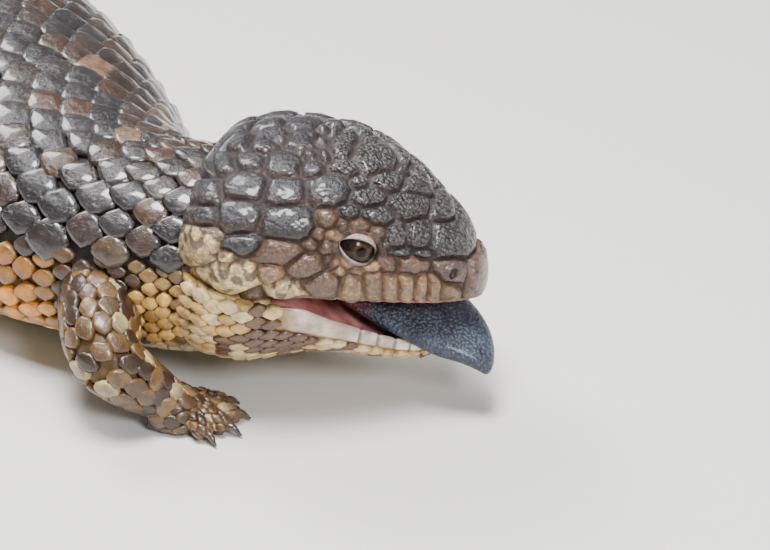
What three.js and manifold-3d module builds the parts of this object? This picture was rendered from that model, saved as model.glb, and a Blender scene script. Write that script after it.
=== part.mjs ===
// A shingleback, the stump-tailed kind of blue-tongued skink, life-size and at rest on its belly:
// the head turned to its left with the mouth open and the broad blue tongue hanging out over the lower
// jaw, the trunk bending away behind it, four short legs and the fat, blunt tail.
// Millimetres, +Z up, the floor at z = 0. The head looks along +X.
import * as THREE from "three";
import { mergeVertices } from "three/addons/utils/BufferGeometryUtils.js";
import Module from "manifold-3d";

const wasm = await Module();
wasm.setup();

// Driving dimensions
const HEAD_LENGTH = 56; // snout to the back of the skull
const HEAD_WIDTH = 52; // across the cheeks
const CROWN_HEIGHT = 27.6; // crown above the lip line
const TRUNK_END = 282; // snout to vent
const TOTAL_LENGTH = 346; // snout to tail tip, along the spine
const TRUNK_WIDTH = 77;
const TRUNK_HEIGHT = 48.5;
const HEAD_PITCH = rad(10); // nose down
const SNOUT_LIP_HEIGHT = 22.8; // of the upper lip at the snout, above the floor
const MOUTH_CORNER = 39; // snout to the corner of the mouth
const GAPE = rad(21);
const JAW_LENGTH = 34; // corner of the mouth to the chin
const NECK_ROOT = 42; // where the neck starts, inside the head
const HEAD_END = 57; // where head and neck part
const EYE_RADIUS = 4.1;
const GAP = 0.3; // between neighbours
const SLIVER = 0.02; // edges shorter than this are closed up

function rad(degrees) {
  return (degrees * Math.PI) / 180;
}

// A smooth curve through a few knots [at, value], with no overshoot between them.
function curve(knots) {
  const slope = (i) => (knots[i + 1][1] - knots[i][1]) / (knots[i + 1][0] - knots[i][0]);
  const bend = knots.map((knot, i) => {
    if (i === 0) return slope(0);
    if (i === knots.length - 1) return slope(i - 1);
    const before = slope(i - 1);
    const after = slope(i);
    return before * after <= 0 ? 0 : (2 * before * after) / (before + after);
  });
  return (at) => {
    const last = knots.length - 1;
    if (at <= knots[0][0]) return knots[0][1];
    if (at >= knots[last][0]) return knots[last][1];
    const i = knots.findIndex((knot) => knot[0] > at) - 1;
    const span = knots[i + 1][0] - knots[i][0];
    const t = (at - knots[i][0]) / span;
    const rise = t * t * (3 - 2 * t);
    const lead = t * (1 - t) * (1 - t) * span * bend[i];
    const trail = t * t * (t - 1) * span * bend[i + 1];
    return knots[i][1] + rise * (knots[i + 1][1] - knots[i][1]) + lead + trail;
  };
}

// A three.js geometry as a solid, whichever way its faces were wound.
function solid(geometry) {
  const bare = geometry.clone();
  bare.deleteAttribute("normal");
  bare.deleteAttribute("uv");
  const merged = mergeVertices(bare, 1e-4);
  const build = (triVerts) =>
    new wasm.Manifold(
      new wasm.Mesh({ numProp: 3, vertProperties: merged.attributes.position.array, triVerts }),
    );
  const faces = new Uint32Array(merged.index.array);
  const made = build(faces);
  return made.volume() > 0 ? made : build(faces.slice().reverse());
}

// A closed cylinder whose every point is moved to place(angle, radius, along): angle round its axis,
// radius 0 to 1 out from the axis, and along 0 to 1 from its first end to its last.
function shaped(sides, steps, place) {
  const geometry = new THREE.CylinderGeometry(1, 1, 1, sides, steps);
  const spots = geometry.getAttribute("position");
  for (let i = 0; i < spots.count; i += 1) {
    const angle = Math.atan2(spots.getX(i), spots.getZ(i));
    const radius = Math.min(1, Math.hypot(spots.getX(i), spots.getZ(i)));
    const to = place(angle, radius, 0.5 - spots.getY(i));
    spots.setXYZ(i, to.x, to.y, to.z);
  }
  return solid(geometry);
}

const union = (pieces) => wasm.Manifold.union(pieces);

// The largest closed surface, as a mesh with its own material.
function node(name, made, colour, roughness) {
  const largest = made.simplify(SLIVER).decompose().sort((a, b) => b.volume() - a.volume())[0];
  const faces = largest.getMesh();
  const geometry = new THREE.BufferGeometry();
  geometry.setAttribute("position", new THREE.BufferAttribute(faces.vertProperties, 3));
  geometry.setIndex(new THREE.BufferAttribute(faces.triVerts, 1));
  geometry.computeVertexNormals();
  const material = new THREE.MeshStandardMaterial({ color: colour, roughness, metalness: 0 });
  const mesh = new THREE.Mesh(geometry, material);
  mesh.name = name;
  return mesh;
}

// Power of a sine or cosine that keeps its sign, for rounded, squarish sections.
const lean = (value, squareness) => Math.sign(value) * Math.abs(value) ** (2 / squareness);

// Head: a point at a distance back from the snout, out to the right and up from the lip line
function headPoint(back, right, up) {
  const x = -back * Math.cos(HEAD_PITCH) + up * Math.sin(HEAD_PITCH);
  const z = SNOUT_LIP_HEIGHT + back * Math.sin(HEAD_PITCH) + up * Math.cos(HEAD_PITCH);
  return new THREE.Vector3(x, -right, z);
}
const headHalfWidth = curve([
  [0, 0],
  [0.5, 3.4],
  [2, 5.8],
  [5, 8.6],
  [9, 11.4],
  [16, 15.2],
  [23, 18.8],
  [32, 22.6],
  [42, 25.4],
  [48, HEAD_WIDTH / 2],
  [54, 24.4],
  [60, 19],
  [62, 15],
]);
const headRise = curve([
  [0, 4.6],
  [0.5, 6.6],
  [2, 9],
  [5, 12.8],
  [9, 17],
  [16, 22],
  [24, 26],
  [32, CROWN_HEIGHT],
  [40, 26.4],
  [48, 24.6],
  [56, 21],
  [62, 14],
]);
// The cheeks stand out over the lips, more so towards the back.
const cheekRise = curve([
  [0, 3],
  [9, 3.4],
  [24, 5],
  [40, 8],
  [62, 10],
]);
const lipShare = curve([
  [0, 0.9],
  [9, 0.93],
  [24, 0.88],
  [40, 0.8],
  [62, 0.8],
]);
// The roof of the mouth is a shallow vault that fades out behind the corner of the mouth.
const palateRise = curve([
  [0, 0],
  [3, 0.4],
  [10, 3],
  [24, 5],
  [MOUTH_CORNER - 4, 3],
  [MOUTH_CORNER + 3, 0],
]);
// The lips of the open mouth, and all below them, lie above the lip line towards the snout.
const lipRise = curve([
  [-6, 2.6],
  [23, 2.8],
  [32, 2.1],
  [MOUTH_CORNER, 0.6],
  [MOUTH_CORNER + 7, 0],
]);
const CHEEK_SHARE = 0.34; // of the quarter turn below the widest line; the rest is the palate
function skull(angle, radius, back) {
  const wide = headHalfWidth(back);
  const cheek = cheekRise(back);
  const side = Math.sign(Math.sin(angle));
  const below = Math.abs(angle) / (Math.PI / 2) - 1;
  if (below <= 0) {
    const right = radius * wide * lean(Math.sin(angle), 2.4);
    return headPoint(back, right, cheek + radius * (headRise(back) - cheek) * lean(Math.cos(angle), 2.4));
  }
  const lip = wide * lipShare(back);
  if (below <= CHEEK_SHARE) {
    const turn = below / CHEEK_SHARE;
    const right = side * radius * (wide - (wide - lip) * turn ** 2);
    return headPoint(back, right, cheek - (cheek - lipRise(back)) * turn);
  }
  const inward = radius * (1 - (below - CHEEK_SHARE) / (1 - CHEEK_SHARE));
  return headPoint(back, side * lip * inward, lipRise(back) + palateRise(back) * (1 - inward ** 4));
}
const skullAlong = curve([
  [0, 0.02],
  [0.08, 0.6],
  [0.16, 2.6],
  [1, 61.6],
]);

// Lower jaw: the rim drops away from the lip line in front of the corner of the mouth
const chin = MOUTH_CORNER - JAW_LENGTH * Math.cos(GAPE);
const rimDrop = curve([
  [chin, -JAW_LENGTH * Math.sin(GAPE)],
  [MOUTH_CORNER - 25, -10.4],
  [MOUTH_CORNER - 12, -5.6],
  [MOUTH_CORNER, -GAP],
  [MOUTH_CORNER + 2, -GAP],
]);
const jawHalfWidth = curve([
  [chin - 0.4, 0],
  [chin + 0.3, 4.6],
  [chin + 2, 7.6],
  [16, 12],
  [26, 17],
  [36, 21.4],
  [45, 23.6],
  [52, 23],
  [60, 18.6],
]);
const jawUnderside = curve([
  [chin - 0.4, -15],
  [chin + 1, -16.4],
  [14, -17.6],
  [28, -18],
  [36, -19],
  [46, -22.2],
  [60, -23.4],
]);
const jawTrough = curve([
  [chin, 0],
  [chin + 4, 2],
  [24, 4],
  [MOUTH_CORNER - 4, 2.4],
  [MOUTH_CORNER + 1, 0],
]);
function jaw(angle, radius, back) {
  const wide = jawHalfWidth(back);
  const above = Math.cos(angle) >= 0;
  const right = radius * wide * lean(Math.sin(angle), 2.2);
  const rim = rimDrop(back) + lipRise(back);
  if (above) {
    const trough = jawTrough(back) * (1 - Math.abs(right / Math.max(wide, 0.1)) ** 4);
    return headPoint(back, right, rim - trough);
  }
  const depth = (jawUnderside(back) - rimDrop(back)) * radius * Math.abs(lean(Math.cos(angle), 2.2));
  return headPoint(back, right, rim + depth);
}

// Tongue: a broad, thick strap over the lower jaw that droops in front of the chin
const tonguePath = new THREE.CatmullRomCurve3([
  headPoint(33, 0, -2),
  headPoint(25, 0, -2.9),
  headPoint(17, 0.4, -4.6),
  headPoint(9, 1, -6),
  headPoint(2, 2.4, -7),
  headPoint(-2, 4, -8.8),
  headPoint(-3.2, 5, -11.6),
]);
const tongueHalfWidth = curve([
  [0, 7],
  [0.3, 10.4],
  [0.6, 11],
  [0.82, 9],
  [0.94, 6.4],
  [1, 3],
]);
const tongueHalfDepth = curve([
  [0, 2],
  [0.3, 3.6],
  [0.6, 4.2],
  [0.85, 3.2],
  [1, 1.5],
]);
function tongue(extra) {
  return (angle, radius, along) => {
    const middle = tonguePath.getPointAt(along);
    const ahead = tonguePath.getTangentAt(along);
    const right = new THREE.Vector3(0.25 * along, -1, -0.3 * along).normalize();
    const up = new THREE.Vector3().crossVectors(ahead, right).normalize();
    const across = Math.sin(angle) * (tongueHalfWidth(along) + extra) * radius;
    const high = Math.cos(angle) * (tongueHalfDepth(along) + extra) * radius;
    return middle.addScaledVector(right, across).addScaledVector(up, high);
  };
}

// Spine of the neck, trunk and tail, seen from above: the heading away from -X, by distance from the snout
const spineHeading = curve([
  [NECK_ROOT, 6],
  [60, 12],
  [80, 30],
  [100, 44],
  [120, 52],
  [145, 55],
  [175, 50],
  [205, 38],
  [235, 22],
  [262, 8],
  [290, -4],
  [TOTAL_LENGTH, -18],
]);
const SPINE_STEP = 0.5;
const spineSpots = [headPoint(NECK_ROOT, 0, 0).setZ(0)];
for (let at = NECK_ROOT; at <= TOTAL_LENGTH; at += SPINE_STEP) {
  const heading = rad(spineHeading(at + SPINE_STEP / 2));
  const step = new THREE.Vector3(-Math.cos(heading), Math.sin(heading), 0);
  spineSpots.push(spineSpots[spineSpots.length - 1].clone().addScaledVector(step, SPINE_STEP));
}
function spine(at) {
  const place = (at - NECK_ROOT) / SPINE_STEP;
  const i = Math.min(Math.max(Math.floor(place), 0), spineSpots.length - 2);
  const heading = rad(spineHeading(at));
  return {
    spot: spineSpots[i].clone().lerp(spineSpots[i + 1], place - i),
    forward: new THREE.Vector3(Math.cos(heading), -Math.sin(heading), 0),
    right: new THREE.Vector3(-Math.sin(heading), -Math.cos(heading), 0),
  };
}
// A point beside the spine: to the right, forward and up from the floor.
function besideSpine(at, right, forward, up) {
  const here = spine(at);
  return here.spot.addScaledVector(here.right, right).addScaledVector(here.forward, forward).setZ(up);
}

const bodyHalfWidth = curve([
  [NECK_ROOT, 16],
  [56, 20.5],
  [70, 22],
  [84, 25.4],
  [100, 30.5],
  [120, 35],
  [145, 37.6],
  [175, TRUNK_WIDTH / 2],
  [205, 37],
  [235, 31],
  [258, 25],
  [TRUNK_END, 20.5],
  [300, 20.5],
  [318, 19],
  [332, 14.6],
  [341, 9],
  [345, 4],
  [TOTAL_LENGTH, 0.4],
]);
const bodyTop = curve([
  [NECK_ROOT, 40],
  [56, 48],
  [70, 47],
  [90, 46.6],
  [120, 48],
  [150, TRUNK_HEIGHT],
  [190, 47],
  [230, 42],
  [262, 35],
  [285, 30.5],
  [310, 28.5],
  [330, 23],
  [341, 16.5],
  [TOTAL_LENGTH, 9],
]);
const bodyBottom = curve([
  [NECK_ROOT, 14],
  [56, 8.6],
  [70, 7],
  [90, 4.2],
  [110, 1],
  [128, -0.7],
  [205, -0.7],
  [240, 0],
  [262, 1.2],
  [285, 0.6],
  [300, -0.5],
  [322, -0.5],
  [336, 1.6],
  [TOTAL_LENGTH, 7],
]);
const WIDEST_AT = 0.42; // share of the body's height where it is widest
function body(angle, radius, at, extra) {
  const bottom = bodyBottom(at);
  const tall = bodyTop(at) - bottom;
  const middle = bottom + tall * WIDEST_AT;
  const above = Math.cos(angle) >= 0;
  const squareness = above ? 2.25 : 2.7;
  const reach = extra + (above ? tall * (1 - WIDEST_AT) : tall * WIDEST_AT);
  const right = radius * (bodyHalfWidth(at) + extra) * lean(Math.sin(angle), squareness);
  return besideSpine(at, right, 0, middle + radius * reach * lean(Math.cos(angle), squareness));
}
const BODY_SIDES = 18;
const BODY_STEPS = 27;
const bodyAlong = curve([
  [0, NECK_ROOT + 4],
  [0.86, 326],
  [0.95, 342],
  [1, TOTAL_LENGTH],
]);

const bodySolid = (extra) =>
  shaped(BODY_SIDES, BODY_STEPS, (angle, radius, along) =>
    body(angle, radius, bodyAlong(along), extra),
  );

// The floor takes a thin slice off what would sink into it, which leaves the small flats it rests on.
const aboveFloor = (made) => made.trimByPlane([0, 0, 1], 0);

// A number near 1, from the same row of chances at every build
const CHANCES = 2 ** 31;
let seed = 20;
function chance(spread) {
  seed = (seed * 1103515245 + 12345) % CHANCES;
  return 1 + spread * ((2 * seed) / CHANCES - 1);
}

// Scutes: low shields of a few sides, lying tailwards, their roots sunk into the flesh
const SCUTE_ROOT = 1.6;
const HEXAGON_FIT = 1.21; // length of a six-sided shield beside the step between staggered rows
const HEXAGON_WIDTH = 1.08; // width of one across its corners beside the pitch of its row
const SCUTE_TOP = 0.82; // size of its top beside its foot
function scute({ spot, out, lie }, length, width, rise, tilt, sides) {
  const geometry = new THREE.CylinderGeometry(SCUTE_TOP, 1, SCUTE_ROOT + rise, sides, 1);
  geometry.translate(0, (rise - SCUTE_ROOT) / 2, 0);
  const spots = geometry.getAttribute("position");
  const across = new THREE.Vector3().crossVectors(out, lie).normalize();
  const along = new THREE.Vector3().crossVectors(across, out);
  for (let i = 0; i < spots.count; i += 1) {
    const back = (spots.getZ(i) * length) / 2;
    const up = spots.getY(i) + (spots.getY(i) > 0 ? back * Math.tan(tilt) : 0);
    const to = spot
      .clone()
      .addScaledVector(across, (spots.getX(i) * width) / 2)
      .addScaledVector(along, back)
      .addScaledVector(out, up);
    spots.setXYZ(i, to.x, to.y, to.z);
  }
  return solid(geometry);
}
// A place on a surface given by angle and length, with its outward and tailward directions.
function place(surface, angle, at) {
  const spot = surface(angle, at);
  const lie = surface(angle, at + 0.5).sub(surface(angle, at - 0.5)).normalize();
  const round = surface(angle + 0.02, at).sub(surface(angle - 0.02, at));
  const out = new THREE.Vector3().crossVectors(lie, round).normalize();
  return { spot, lie, out };
}
// Angles that share out the surface from one side's edge over the back to the other side's.
function shareOut(surface, at, edge, count) {
  const SAMPLES = 48;
  const reached = [0];
  let before = surface(-edge, at);
  for (let i = 1; i <= SAMPLES; i += 1) {
    const next = surface(-edge + (2 * edge * i) / SAMPLES, at);
    reached.push(reached[i - 1] + next.distanceTo(before));
    before = next;
  }
  const girth = reached[SAMPLES];
  const angles = [];
  for (let n = 0; n < count; n += 1) {
    const want = (girth * (n + 0.5)) / count;
    const i = Math.min(reached.findIndex((far) => far >= want), SAMPLES);
    const part = (want - reached[i - 1]) / (reached[i] - reached[i - 1]);
    angles.push(-edge + (2 * edge * (i - 1 + part)) / SAMPLES);
  }
  return { angles, pitch: girth / count };
}

const BODY_ROW_STEP = 15.6; // from one row of scutes on the back to the next
const BODY_SCUTE_PITCH = 16.4; // around the back
const BODY_SCUTE_EDGE = rad(108); // how far down the flanks the scutes reach
const BODY_SCUTE_RISE = 1.3;
const BODY_SCUTE_TILT = rad(5);
function bodyScutes() {
  const surface = (angle, at) => body(angle, 1, at, 0);
  const made = [];
  for (let row = 0, at = HEAD_END + 8; at < TOTAL_LENGTH - 6; row += 1, at += BODY_ROW_STEP) {
    const girth = shareOut(surface, at, BODY_SCUTE_EDGE, 1).pitch;
    const count = Math.max(3, Math.round(girth / BODY_SCUTE_PITCH)) + (row % 2);
    const { angles, pitch } = shareOut(surface, at, BODY_SCUTE_EDGE, count);
    for (const angle of angles) {
      const here = place(surface, angle, at * chance(0.003));
      const length = BODY_ROW_STEP * HEXAGON_FIT * chance(0.05);
      const rise = Math.min(BODY_SCUTE_RISE, pitch * 0.12) * chance(0.2);
      made.push(scute(here, length, pitch * HEXAGON_WIDTH * chance(0.04), rise, BODY_SCUTE_TILT, 6));
    }
  }
  return made;
}

// Legs: the shoulder or hip is inside the trunk, beside the spine at a station from the snout
const LEGS = {
  front_right: {
    station: 80, side: 1, root: [8, 2, 24], bend: [28, 22.5, 17], ankle: [21.5, 29, 7.6], heading: -44, thick: 1,
  },
  front_left: {
    station: 80, side: -1, root: [8, 1, 22], bend: [28, 7, 16], ankle: [29, 21, 7], heading: 5, thick: 1,
  },
  hind_right: {
    station: 258, side: 1, root: [10, 0, 18], bend: [37, 10, 15], ankle: [47, -5, 7], heading: 28, thick: 1.08,
  },
  hind_left: {
    station: 258, side: -1, root: [9, 1, 18.5], bend: [35, 13.5, 15.4], ankle: [46, 0, 7], heading: 34, thick: 1.08,
  },
};
const LIMB_SIDES = 8;
const TOES = 5;
const TOE_SPREAD = rad(27); // between neighbouring toes
const TOE_LENGTHS = [5, 6.6, 7.4, 7, 5.2];
const TOE_RADIUS = 1.9;
const CLAW_LENGTH = 3.4;
const SOLE_HEIGHT = 2.6; // middle of the foot, above the floor

// A tapering tube along points, with a radius at each point.
function limb(points, radii, steps) {
  const path = new THREE.CatmullRomCurve3(points, false, "centripetal");
  const thickness = curve(radii);
  return shaped(LIMB_SIDES, steps, (angle, radius, along) => {
    const ahead = path.getTangentAt(along);
    const side = new THREE.Vector3(-ahead.y, ahead.x, 0).normalize();
    const up = new THREE.Vector3().crossVectors(ahead, side).normalize();
    const reach = radius * thickness(along);
    return path
      .getPointAt(along)
      .addScaledVector(side, reach * Math.sin(angle))
      .addScaledVector(up, -reach * Math.cos(angle));
  });
}

function leg(plan) {
  const joint = ([right, forward, up]) => besideSpine(plan.station, right * plan.side, forward, up);
  const root = joint(plan.root);
  const bend = joint(plan.bend);
  const ankle = joint(plan.ankle);
  const here = spine(plan.station);
  // The foot points forward, turned outwards by its heading.
  const turn = rad(plan.heading);
  const ahead = here.forward
    .clone()
    .multiplyScalar(Math.cos(turn))
    .addScaledVector(here.right, plan.side * Math.sin(turn));
  const palm = ankle.clone().addScaledVector(ahead, 5).setZ(SOLE_HEIGHT + 0.6);
  const pieces = [
    limb(
      [root, bend, ankle, palm],
      [
        [0, 9.6 * plan.thick],
        [0.4, 8 * plan.thick],
        [0.56, 7 * plan.thick],
        [0.85, 4.8 * plan.thick],
        [1, 3.8 * plan.thick],
      ],
      11,
    ),
    limb(
      [ankle.clone().setZ(4.6), palm, palm.clone().addScaledVector(ahead, 3.4).setZ(SOLE_HEIGHT)],
      [
        [0, 4.2],
        [0.6, 5],
        [1, 3.2],
      ],
      4,
    ),
  ];
  for (let toe = 0; toe < TOES; toe += 1) {
    const splay = (toe - (TOES - 1) / 2) * TOE_SPREAD;
    const out = ahead.clone().applyAxisAngle(new THREE.Vector3(0, 0, 1), splay);
    const reach = TOE_LENGTHS[plan.side > 0 ? TOES - 1 - toe : toe];
    const knuckle = palm.clone().addScaledVector(out, 1.5).setZ(SOLE_HEIGHT);
    const end = palm.clone().addScaledVector(out, 3.2 + reach).setZ(TOE_RADIUS - 0.25);
    const claw = end.clone().addScaledVector(out, CLAW_LENGTH).setZ(0.5);
    const arch = knuckle.clone().lerp(end, 0.5).setZ(SOLE_HEIGHT + 0.9);
    pieces.push(toeSolid([knuckle, arch, end, claw]));
  }
  const whole = aboveFloor(union(pieces));
  const shin = ankle.clone().sub(bend).normalize();
  const arm = bend.clone().sub(root).normalize();
  const knee = cutAt(whole.subtract(bodyRoom), bend, arm.clone().add(shin));
  const wrist = cutAt(knee.far, ankle, shin.clone().add(ahead));
  return { whole, upper: knee.near, lower: wrist.near, foot: wrist.far };
}

// A toe arches from its knuckle to the floor and tapers into its claw.
const toeRadius = curve([
  [0, TOE_RADIUS],
  [0.6, TOE_RADIUS],
  [0.74, 1.1],
  [1, 0.3],
]);
function toeSolid(points) {
  const path = new THREE.CatmullRomCurve3(points);
  return shaped(5, 3, (angle, radius, along) => {
    const ahead = path.getTangentAt(along);
    const side = new THREE.Vector3(-ahead.y, ahead.x, 0).normalize();
    const up = new THREE.Vector3().crossVectors(side, ahead).normalize();
    const reach = radius * toeRadius(along);
    return path
      .getPointAt(along)
      .addScaledVector(side, reach * Math.sin(angle))
      .addScaledVector(up, reach * Math.cos(angle));
  });
}

// Cuts a solid by a plane through a point, square to a direction, and leaves the gap.
function cutAt(made, spot, direction) {
  const along = direction.clone().normalize();
  const normal = [along.x, along.y, along.z];
  const at = along.dot(spot);
  const far = made.trimByPlane(normal, at + GAP / 2);
  const near = made.trimByPlane(normal.map((n) => -n), -at + GAP / 2);
  return { near, far };
}
// The same across the spine, where the near side is the one towards the head.
const cutSpine = (made, at) => cutAt(made, besideSpine(at, 0, 0, 0), spine(at).forward.negate());

// Head, with eyes in their sockets, lids, nostrils and ear openings
const EYE = { back: 26.6, right: 15.6, up: 14.2 };
const NOSTRIL = { back: 7.2, right: 9.1, up: 9.6, radius: 0.9 };
const EAR = { back: 51, right: 26, up: 0.4, radius: 2.4 };
const eyeSpot = (side) => headPoint(EYE.back, side * EYE.right, EYE.up);
const ball = (middle, radius, width, height) =>
  solid(new THREE.SphereGeometry(radius, width, height).translate(middle.x, middle.y, middle.z));
const skullSurface = (angle, back) => skull(angle, 1, back);
const LID = { thick: 1.1, long: 4.7, tall: 3, angle: 66.5, ahead: 1.6, proud: 0.1, slant: -10 };
function eyelids(side) {
  const { spot, lie, out } = place(skullSurface, side * rad(LID.angle), EYE.back - LID.ahead);
  const ring = new THREE.TorusGeometry(1, 1, 5, 14);
  const spots = ring.getAttribute("position");
  const up = new THREE.Vector3().crossVectors(out, lie);
  const slant = rad(LID.slant) * side;
  const across = lie.clone().applyAxisAngle(out, slant);
  up.applyAxisAngle(out, slant);
  for (let i = 0; i < spots.count; i += 1) {
    // A torus of radius 1 round a tube of radius 1 is opened out to the eye's almond shape.
    const turn = Math.atan2(spots.getY(i), spots.getX(i));
    const past = Math.hypot(spots.getX(i), spots.getY(i)) - 1;
    const to = spot
      .clone()
      .addScaledVector(across, Math.cos(turn) * (LID.long + LID.thick * past))
      .addScaledVector(up, Math.sin(turn) * (LID.tall + LID.thick * past))
      .addScaledVector(out, LID.proud + LID.thick * spots.getZ(i));
    spots.setXYZ(i, to.x, to.y, to.z);
  }
  return solid(ring);
}
const skullSolid = shaped(20, 17, (angle, radius, along) => skull(angle, radius, skullAlong(along)));
const sockets = [1, -1].map((side) => ball(eyeSpot(side), EYE_RADIUS + GAP, 10, 7));
const nostrils = [1, -1].map((side) =>
  ball(headPoint(NOSTRIL.back, side * NOSTRIL.right, NOSTRIL.up), NOSTRIL.radius, 8, 6),
);
const ears = [1, -1].map((side) =>
  ball(headPoint(EAR.back, side * EAR.right, EAR.up + EAR.radius), EAR.radius, 8, 6),
);

// Head shields: domed and set close, in rows over the crown, and the row of plates along each lip
const HEAD_ROWS = [
  { back: 3, count: 2, length: 5.6, edge: 56 },
  { back: 9.2, count: 3, length: 6.8, edge: 78 },
  { back: 16.6, count: 4, length: 8, edge: 84 },
  { back: 24.8, count: 5, length: 8.4, edge: 88 },
  { back: 33.4, count: 6, length: 8.6, edge: 94 },
  { back: 42.2, count: 7, length: 9, edge: 100 },
  { back: 51, count: 8, length: 8.4, edge: 102 },
];
const HEAD_SCUTE_RISE = 0.9;
const LIP_PLATES = 6;
const LIP_PLATE_RISE = 0.55;
const EYE_CLEARANCE = 8.6; // from the eye to the nearest shield's middle
function headShields() {
  const made = [];
  for (const { back, count, length, edge } of HEAD_ROWS) {
    const { angles, pitch } = shareOut(skullSurface, back, rad(edge), count);
    for (const angle of angles) {
      const here = place(skullSurface, angle, back);
      if ([1, -1].some((side) => here.spot.distanceTo(eyeSpot(side)) < EYE_CLEARANCE)) continue;
      const wide = pitch * HEXAGON_WIDTH;
      made.push(scute(here, length * HEXAGON_FIT, wide, HEAD_SCUTE_RISE * chance(0.15), 0, 6));
    }
  }
  for (const side of [1, -1]) {
    for (let plate = 0; plate < LIP_PLATES; plate += 1) {
      const back = 6 + ((MOUTH_CORNER - 9) * plate) / (LIP_PLATES - 1);
      const here = place(skullSurface, side * rad(97), back);
      made.push(scute(here, 5.8, 4.6, LIP_PLATE_RISE, 0, 5));
    }
  }
  return made;
}
const wholeSkull = union([skullSolid, eyelids(1), eyelids(-1), ...headShields()])
  .subtract(union([...sockets, ...nostrils, ...ears]));

const bodyRoom = bodySolid(GAP);
const legs = Object.fromEntries(Object.entries(LEGS).map(([name, plan]) => [name, leg(plan)]));
const clearOfLegs = (made) =>
  Object.values(legs).every(({ whole }) => whole.intersect(made).isEmpty());
const bodyWhole = aboveFloor(union([bodySolid(0), ...bodyScutes().filter(clearOfLegs)]));
const tongueSolid = shaped(14, 13, tongue(0));
const tongueRoom = shaped(14, 13, tongue(GAP));
const jawSolid = shaped(18, 16, (angle, radius, along) =>
  jaw(angle, radius, chin - 0.4 + (HEAD_LENGTH + 2 - chin) * along),
).subtract(tongueRoom);

const group = new THREE.Group();
group.add(node("head", cutSpine(wholeSkull, HEAD_END).near, 0x57504b, 0.5));
group.add(node("lower_jaw", cutSpine(jawSolid, HEAD_END).near, 0xd8c79a, 0.6));
group.add(node("tongue", tongueSolid, 0x33435f, 0.45));
for (const [name, side] of [["eye_right", 1], ["eye_left", -1]])
  group.add(node(name, ball(eyeSpot(side), EYE_RADIUS, 12, 9), 0x2a1a10, 0.1));

// Neck, trunk and tail, parted across the spine
const LENGTHS = [
  ["neck", HEAD_END, 80],
  ["trunk_front", 80, 142],
  ["trunk_rear", 142, 210],
  ["hips", 210, TRUNK_END],
  ["tail", TRUNK_END, TOTAL_LENGTH + 5],
];
for (const [name, from, to] of LENGTHS)
  group.add(node(name, cutSpine(cutSpine(bodyWhole, from).far, to).near, 0x5a4a3c, 0.5));
for (const [name, { upper, lower, foot }] of Object.entries(legs)) {
  group.add(node(name + "_upper", upper, 0x8a6a48, 0.55));
  group.add(node(name + "_lower", lower, 0x8a6a48, 0.55));
  group.add(node(name + "_foot", foot, 0x6b5138, 0.55));
}

// The origin lies on the floor, under the middle of the whole animal.
const middle = new THREE.Box3().setFromObject(group).getCenter(new THREE.Vector3());
group.position.set(-middle.x, -middle.y, 0);

export default group;
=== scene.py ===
import math

import bmesh
import bpy
import numpy as np
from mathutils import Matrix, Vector


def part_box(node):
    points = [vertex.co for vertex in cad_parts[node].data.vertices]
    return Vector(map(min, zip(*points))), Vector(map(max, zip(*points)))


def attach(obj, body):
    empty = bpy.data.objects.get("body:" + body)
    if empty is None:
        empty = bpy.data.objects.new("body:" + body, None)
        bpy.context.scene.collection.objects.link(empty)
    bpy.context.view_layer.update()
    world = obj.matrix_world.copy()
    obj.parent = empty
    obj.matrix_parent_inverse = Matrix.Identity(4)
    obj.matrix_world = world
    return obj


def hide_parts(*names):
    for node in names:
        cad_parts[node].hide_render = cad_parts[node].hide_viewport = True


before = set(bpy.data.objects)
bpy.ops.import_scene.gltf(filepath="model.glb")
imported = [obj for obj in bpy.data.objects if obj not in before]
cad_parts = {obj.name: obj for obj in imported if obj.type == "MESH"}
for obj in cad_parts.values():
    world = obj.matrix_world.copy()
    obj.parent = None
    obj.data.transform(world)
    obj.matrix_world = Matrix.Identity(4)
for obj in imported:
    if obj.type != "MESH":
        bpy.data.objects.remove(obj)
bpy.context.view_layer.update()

# Shape of the flesh
# The animal is one soft body: a wide, flat skull, a stout neck, a low broad trunk and a fat, blunt tail.
# Lengths in this section are millimetres in the head's and the spine's own directions, turned to metres
# when a mesh is made.
MM = 0.001
HEAD_PITCH = math.radians(10)
SNOUT_LIP_HEIGHT = 22.8
MOUTH_CORNER = 39.0
GAPE = math.radians(21)
JAW_LENGTH = 34.0
NECK_ROOT = 42.0
TOTAL_LENGTH = 346.0
EYE_RADIUS = 4.1
EYE = (26.6, 15.6, 14.2)
NOSTRIL = (7.2, 9.1, 9.6)
EAR = (51.0, 26.0, 2.8)


def curve(*knots):
    """A smooth curve through a few (at, value) knots, with no overshoot between them."""
    at = np.array([knot[0] for knot in knots], float)
    value = np.array([knot[1] for knot in knots], float)
    slope = np.diff(value) / np.diff(at)
    product = slope[:-1] * slope[1:]
    total = np.where(product > 0, slope[:-1] + slope[1:], 1)
    inner = np.where(product > 0, 2 * product / total, 0)
    bend = np.concatenate([slope[:1], inner, slope[-1:]])

    def read(x):
        x = np.clip(x, at[0], at[-1])
        i = np.clip(np.searchsorted(at, x, side="right") - 1, 0, len(at) - 2)
        span = at[i + 1] - at[i]
        t = (x - at[i]) / span
        rise = t * t * (3 - 2 * t)
        lead = t * (1 - t) ** 2 * span * bend[i]
        trail = t * t * (t - 1) * span * bend[i + 1]
        return value[i] + rise * (value[i + 1] - value[i]) + lead + trail

    return read


def stacked(x, y, z):
    """Places from their three coordinates, some of which may be single numbers."""
    return np.stack(np.broadcast_arrays(x, y, z), axis=-1).astype(float)


def unit(vectors):
    return vectors / np.maximum(np.linalg.norm(vectors, axis=-1, keepdims=True), 1e-9)


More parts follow.
